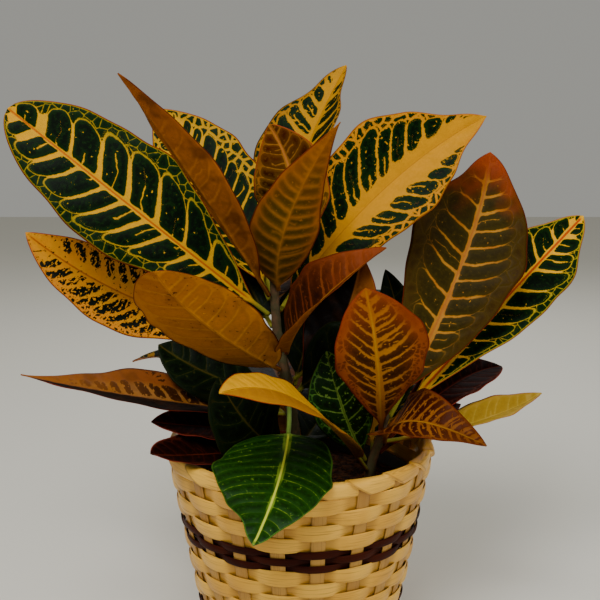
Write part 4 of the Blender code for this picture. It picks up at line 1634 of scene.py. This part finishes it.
@dataclass(frozen=True)
class Soil:
    """Potting mix: a domed body, lower at its edge, with loose crumbs on top. Millimetres.

    density is crumbs to the square metre. A crumb is stretched by CRUMB_LEAST to CRUMB_MOST along
    its axes, and tilted and spun by so many radians.
    """

    floor: float = 5.2
    foot_radius: float = 51.8
    edge: float = 71.6
    top: float = 109.0
    crown: float = 4.0
    bumps: float = 0.5
    crumbs: float = 1.05
    crumb_margin: float = 2.4
    crumb_sink: float = 0.4
    density: float = 130000.0
    rings: int = 36
    sides: int = 120

    CRUMB_LEAST = (0.35, 0.35, 0.25)
    CRUMB_MOST = (1.5, 1.3, 0.9)
    CRUMB_TILT, CRUMB_SPIN = 0.5, 6.2
    PLACE_SEED, SIZE_SEED, TURN_SEED = 7, 3, 5

    def crumb_tool(self) -> GeometryTool:
        """Tree that strews lumps of chance size and turn over the domed top."""
        work = GeometryTool("crumbs", "Radius Density Size Top Crown")
        disc = work.node("GeometryNodeMeshCircle", 64, work("radius"), fill_type="TRIANGLE_FAN")
        density, seed = ("Density", work("density")), ("Seed", self.PLACE_SEED)
        spots = work.node("GeometryNodeDistributePointsOnFaces", disc, density, seed)
        lump = work.node("GeometryNodeMeshIcoSphere", work("size"), 2)
        scale = work.node(
            "FunctionNodeRandomValue", (0, self.CRUMB_LEAST), (1, self.CRUMB_MOST),
            ("Seed", self.SIZE_SEED), data_type="FLOAT_VECTOR",
        )
        tilt = self.CRUMB_TILT
        turn = work.node(
            "FunctionNodeRandomValue", (0, (-tilt, -tilt, 0.0)), (1, (tilt, tilt, self.CRUMB_SPIN)),
            ("Seed", self.TURN_SEED), data_type="FLOAT_VECTOR",
        )
        laid = [("Rotation", turn), ("Scale", scale)]
        many = work.node("GeometryNodeInstanceOnPoints", spots, None, lump, *laid)
        work["x y z"] = work.node("GeometryNodeInputPosition")
        rise = work("(0, 0, top - crown * ((x * x + y * y) / (radius * radius)) ** 3)")
        work.close(work.node("GeometryNodeSetPosition", many, None, None, rise))
        return work

    def build(self) -> None:
        """Makes the body of the mix and the crumbs on it."""
        made = SoilFinish().material()
        radii = np.linspace(self.edge, 1.0, self.rings)
        heights = self.top - self.crown * (radii / self.edge) ** 6
        profile = [(1.0, self.floor), (self.foot_radius, self.floor), *zip(radii, heights)]
        rings = turned(profile, self.sides)
        radius, height = np.array(profile).T[..., None]
        angle = 2 * pi * np.arange(self.sides) / self.sides
        wave = np.sin(radius * 0.45 + 3 * angle) * np.sin(5 * angle - radius * 0.2) - 0.8
        rings[..., 2] += np.where(height < self.top - self.crown + 0.1, 0.0, self.bumps) * wave
        bits = self.crumb_tool().make(
            "soil_crumbs", made, Radius=(self.edge - self.crumb_margin) * MM,
            Density=self.density, Size=self.crumbs * MM, Top=(self.top - self.crumb_sink) * MM,
            Crown=self.crown * MM,
        )
        mix = joined("potting_mix", [rings_mesh("soil_body", rings, made), bits])
        new_piece("potting_mix", mix, "soil")


# ---------------------------------------------------------------- studio


@dataclass(frozen=True)
class Studio:
    """Plain pale floor, soft lights and the camera. Metres and degrees."""

    eye: tuple = (0.0, -0.600, 0.340)
    down: float = 10.4
    lens: float = 57.0
    sensor: float = 36.0
    floor_size: float = 6.0
    floor_drop: float = 0.5 * MM
    floor_tone: str = "#d9d6cb"
    world: float = 0.45
    world_tone: str = "#dddcd4"
    aim: tuple = (0.0, 0.0, 0.22)
    lamps: tuple = (
        ("key", (-0.3, -0.8, 1.3), 0.7, 18.0),
        ("fill", (0.8, -0.7, 0.5), 0.9, 3.5),
        ("rear", (0.2, 1.0, 1.1), 0.9, 6.0),
    )

    def light(self, name: str, place: tuple, size: float, power: float) -> None:
        """Adds one square soft light that looks at the plant.

        Args:
            name: the lamp's name.
            place: where it stands.
            size: the length of its side.
            power: its power in watts.
        """
        lamp = bpy.data.lights.new(name, "AREA")
        lamp.shape = "SQUARE"
        lamp.size = size
        lamp.energy = power
        obj = bpy.data.objects.new(name, lamp)
        obj.location = place
        way = Vector(self.aim) - Vector(place)
        obj.rotation_euler = way.to_track_quat("-Z", "Y").to_euler()
        bpy.context.scene.collection.objects.link(obj)

    def camera(self) -> None:
        """Adds the camera."""
        camera = bpy.data.cameras.new("camera")
        camera.lens = self.lens
        camera.sensor_width = self.sensor
        eye = bpy.data.objects.new("camera", camera)
        eye.location = self.eye
        eye.rotation_euler = (radians(90 - self.down), 0, 0)
        bpy.context.scene.collection.objects.link(eye)
        bpy.context.scene.camera = eye

    def floor(self) -> None:
        """Adds the floor, in matt paper that gives the eye no gloss."""
        mesh = bpy.data.meshes.new("floor")
        far = self.floor_size / 2
        corners = [(-far, -far, 0), (far, -far, 0), (far, far, 0), (-far, far, 0)]
        mesh.from_pydata(corners, [], [(0, 1, 2, 3)])
        mesh.materials.append(Paint("matt_paper").close(self.floor_tone, 0.9))
        ground = bpy.data.objects.new("floor", mesh)
        ground.location.z = -self.floor_drop
        bpy.context.scene.collection.objects.link(ground)

    def build(self) -> None:
        """Makes the camera, floor, world and lights."""
        self.camera()
        self.floor()
        world = bpy.data.worlds.new("studio")
        world.use_nodes = True
        back = world.node_tree.nodes["Background"]
        back.inputs[0].default_value = linear(self.world_tone)
        back.inputs[1].default_value = self.world
        bpy.context.scene.world = world
        for name, place, size, power in self.lamps:
            self.light(name, place, size, power)


def main() -> None:
    """Loads the frame and builds the studio and every sub-assembly in order."""
    logging.basicConfig(level=logging.INFO, format="%(message)s")
    for obj in list(bpy.data.objects):
        bpy.data.objects.remove(obj)
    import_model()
    Studio().build()
    Basket().build()
    Pot().build()
    Soil().build()
    Foliage(leaf_table()).build()


if __name__ == "__main__":
    main()
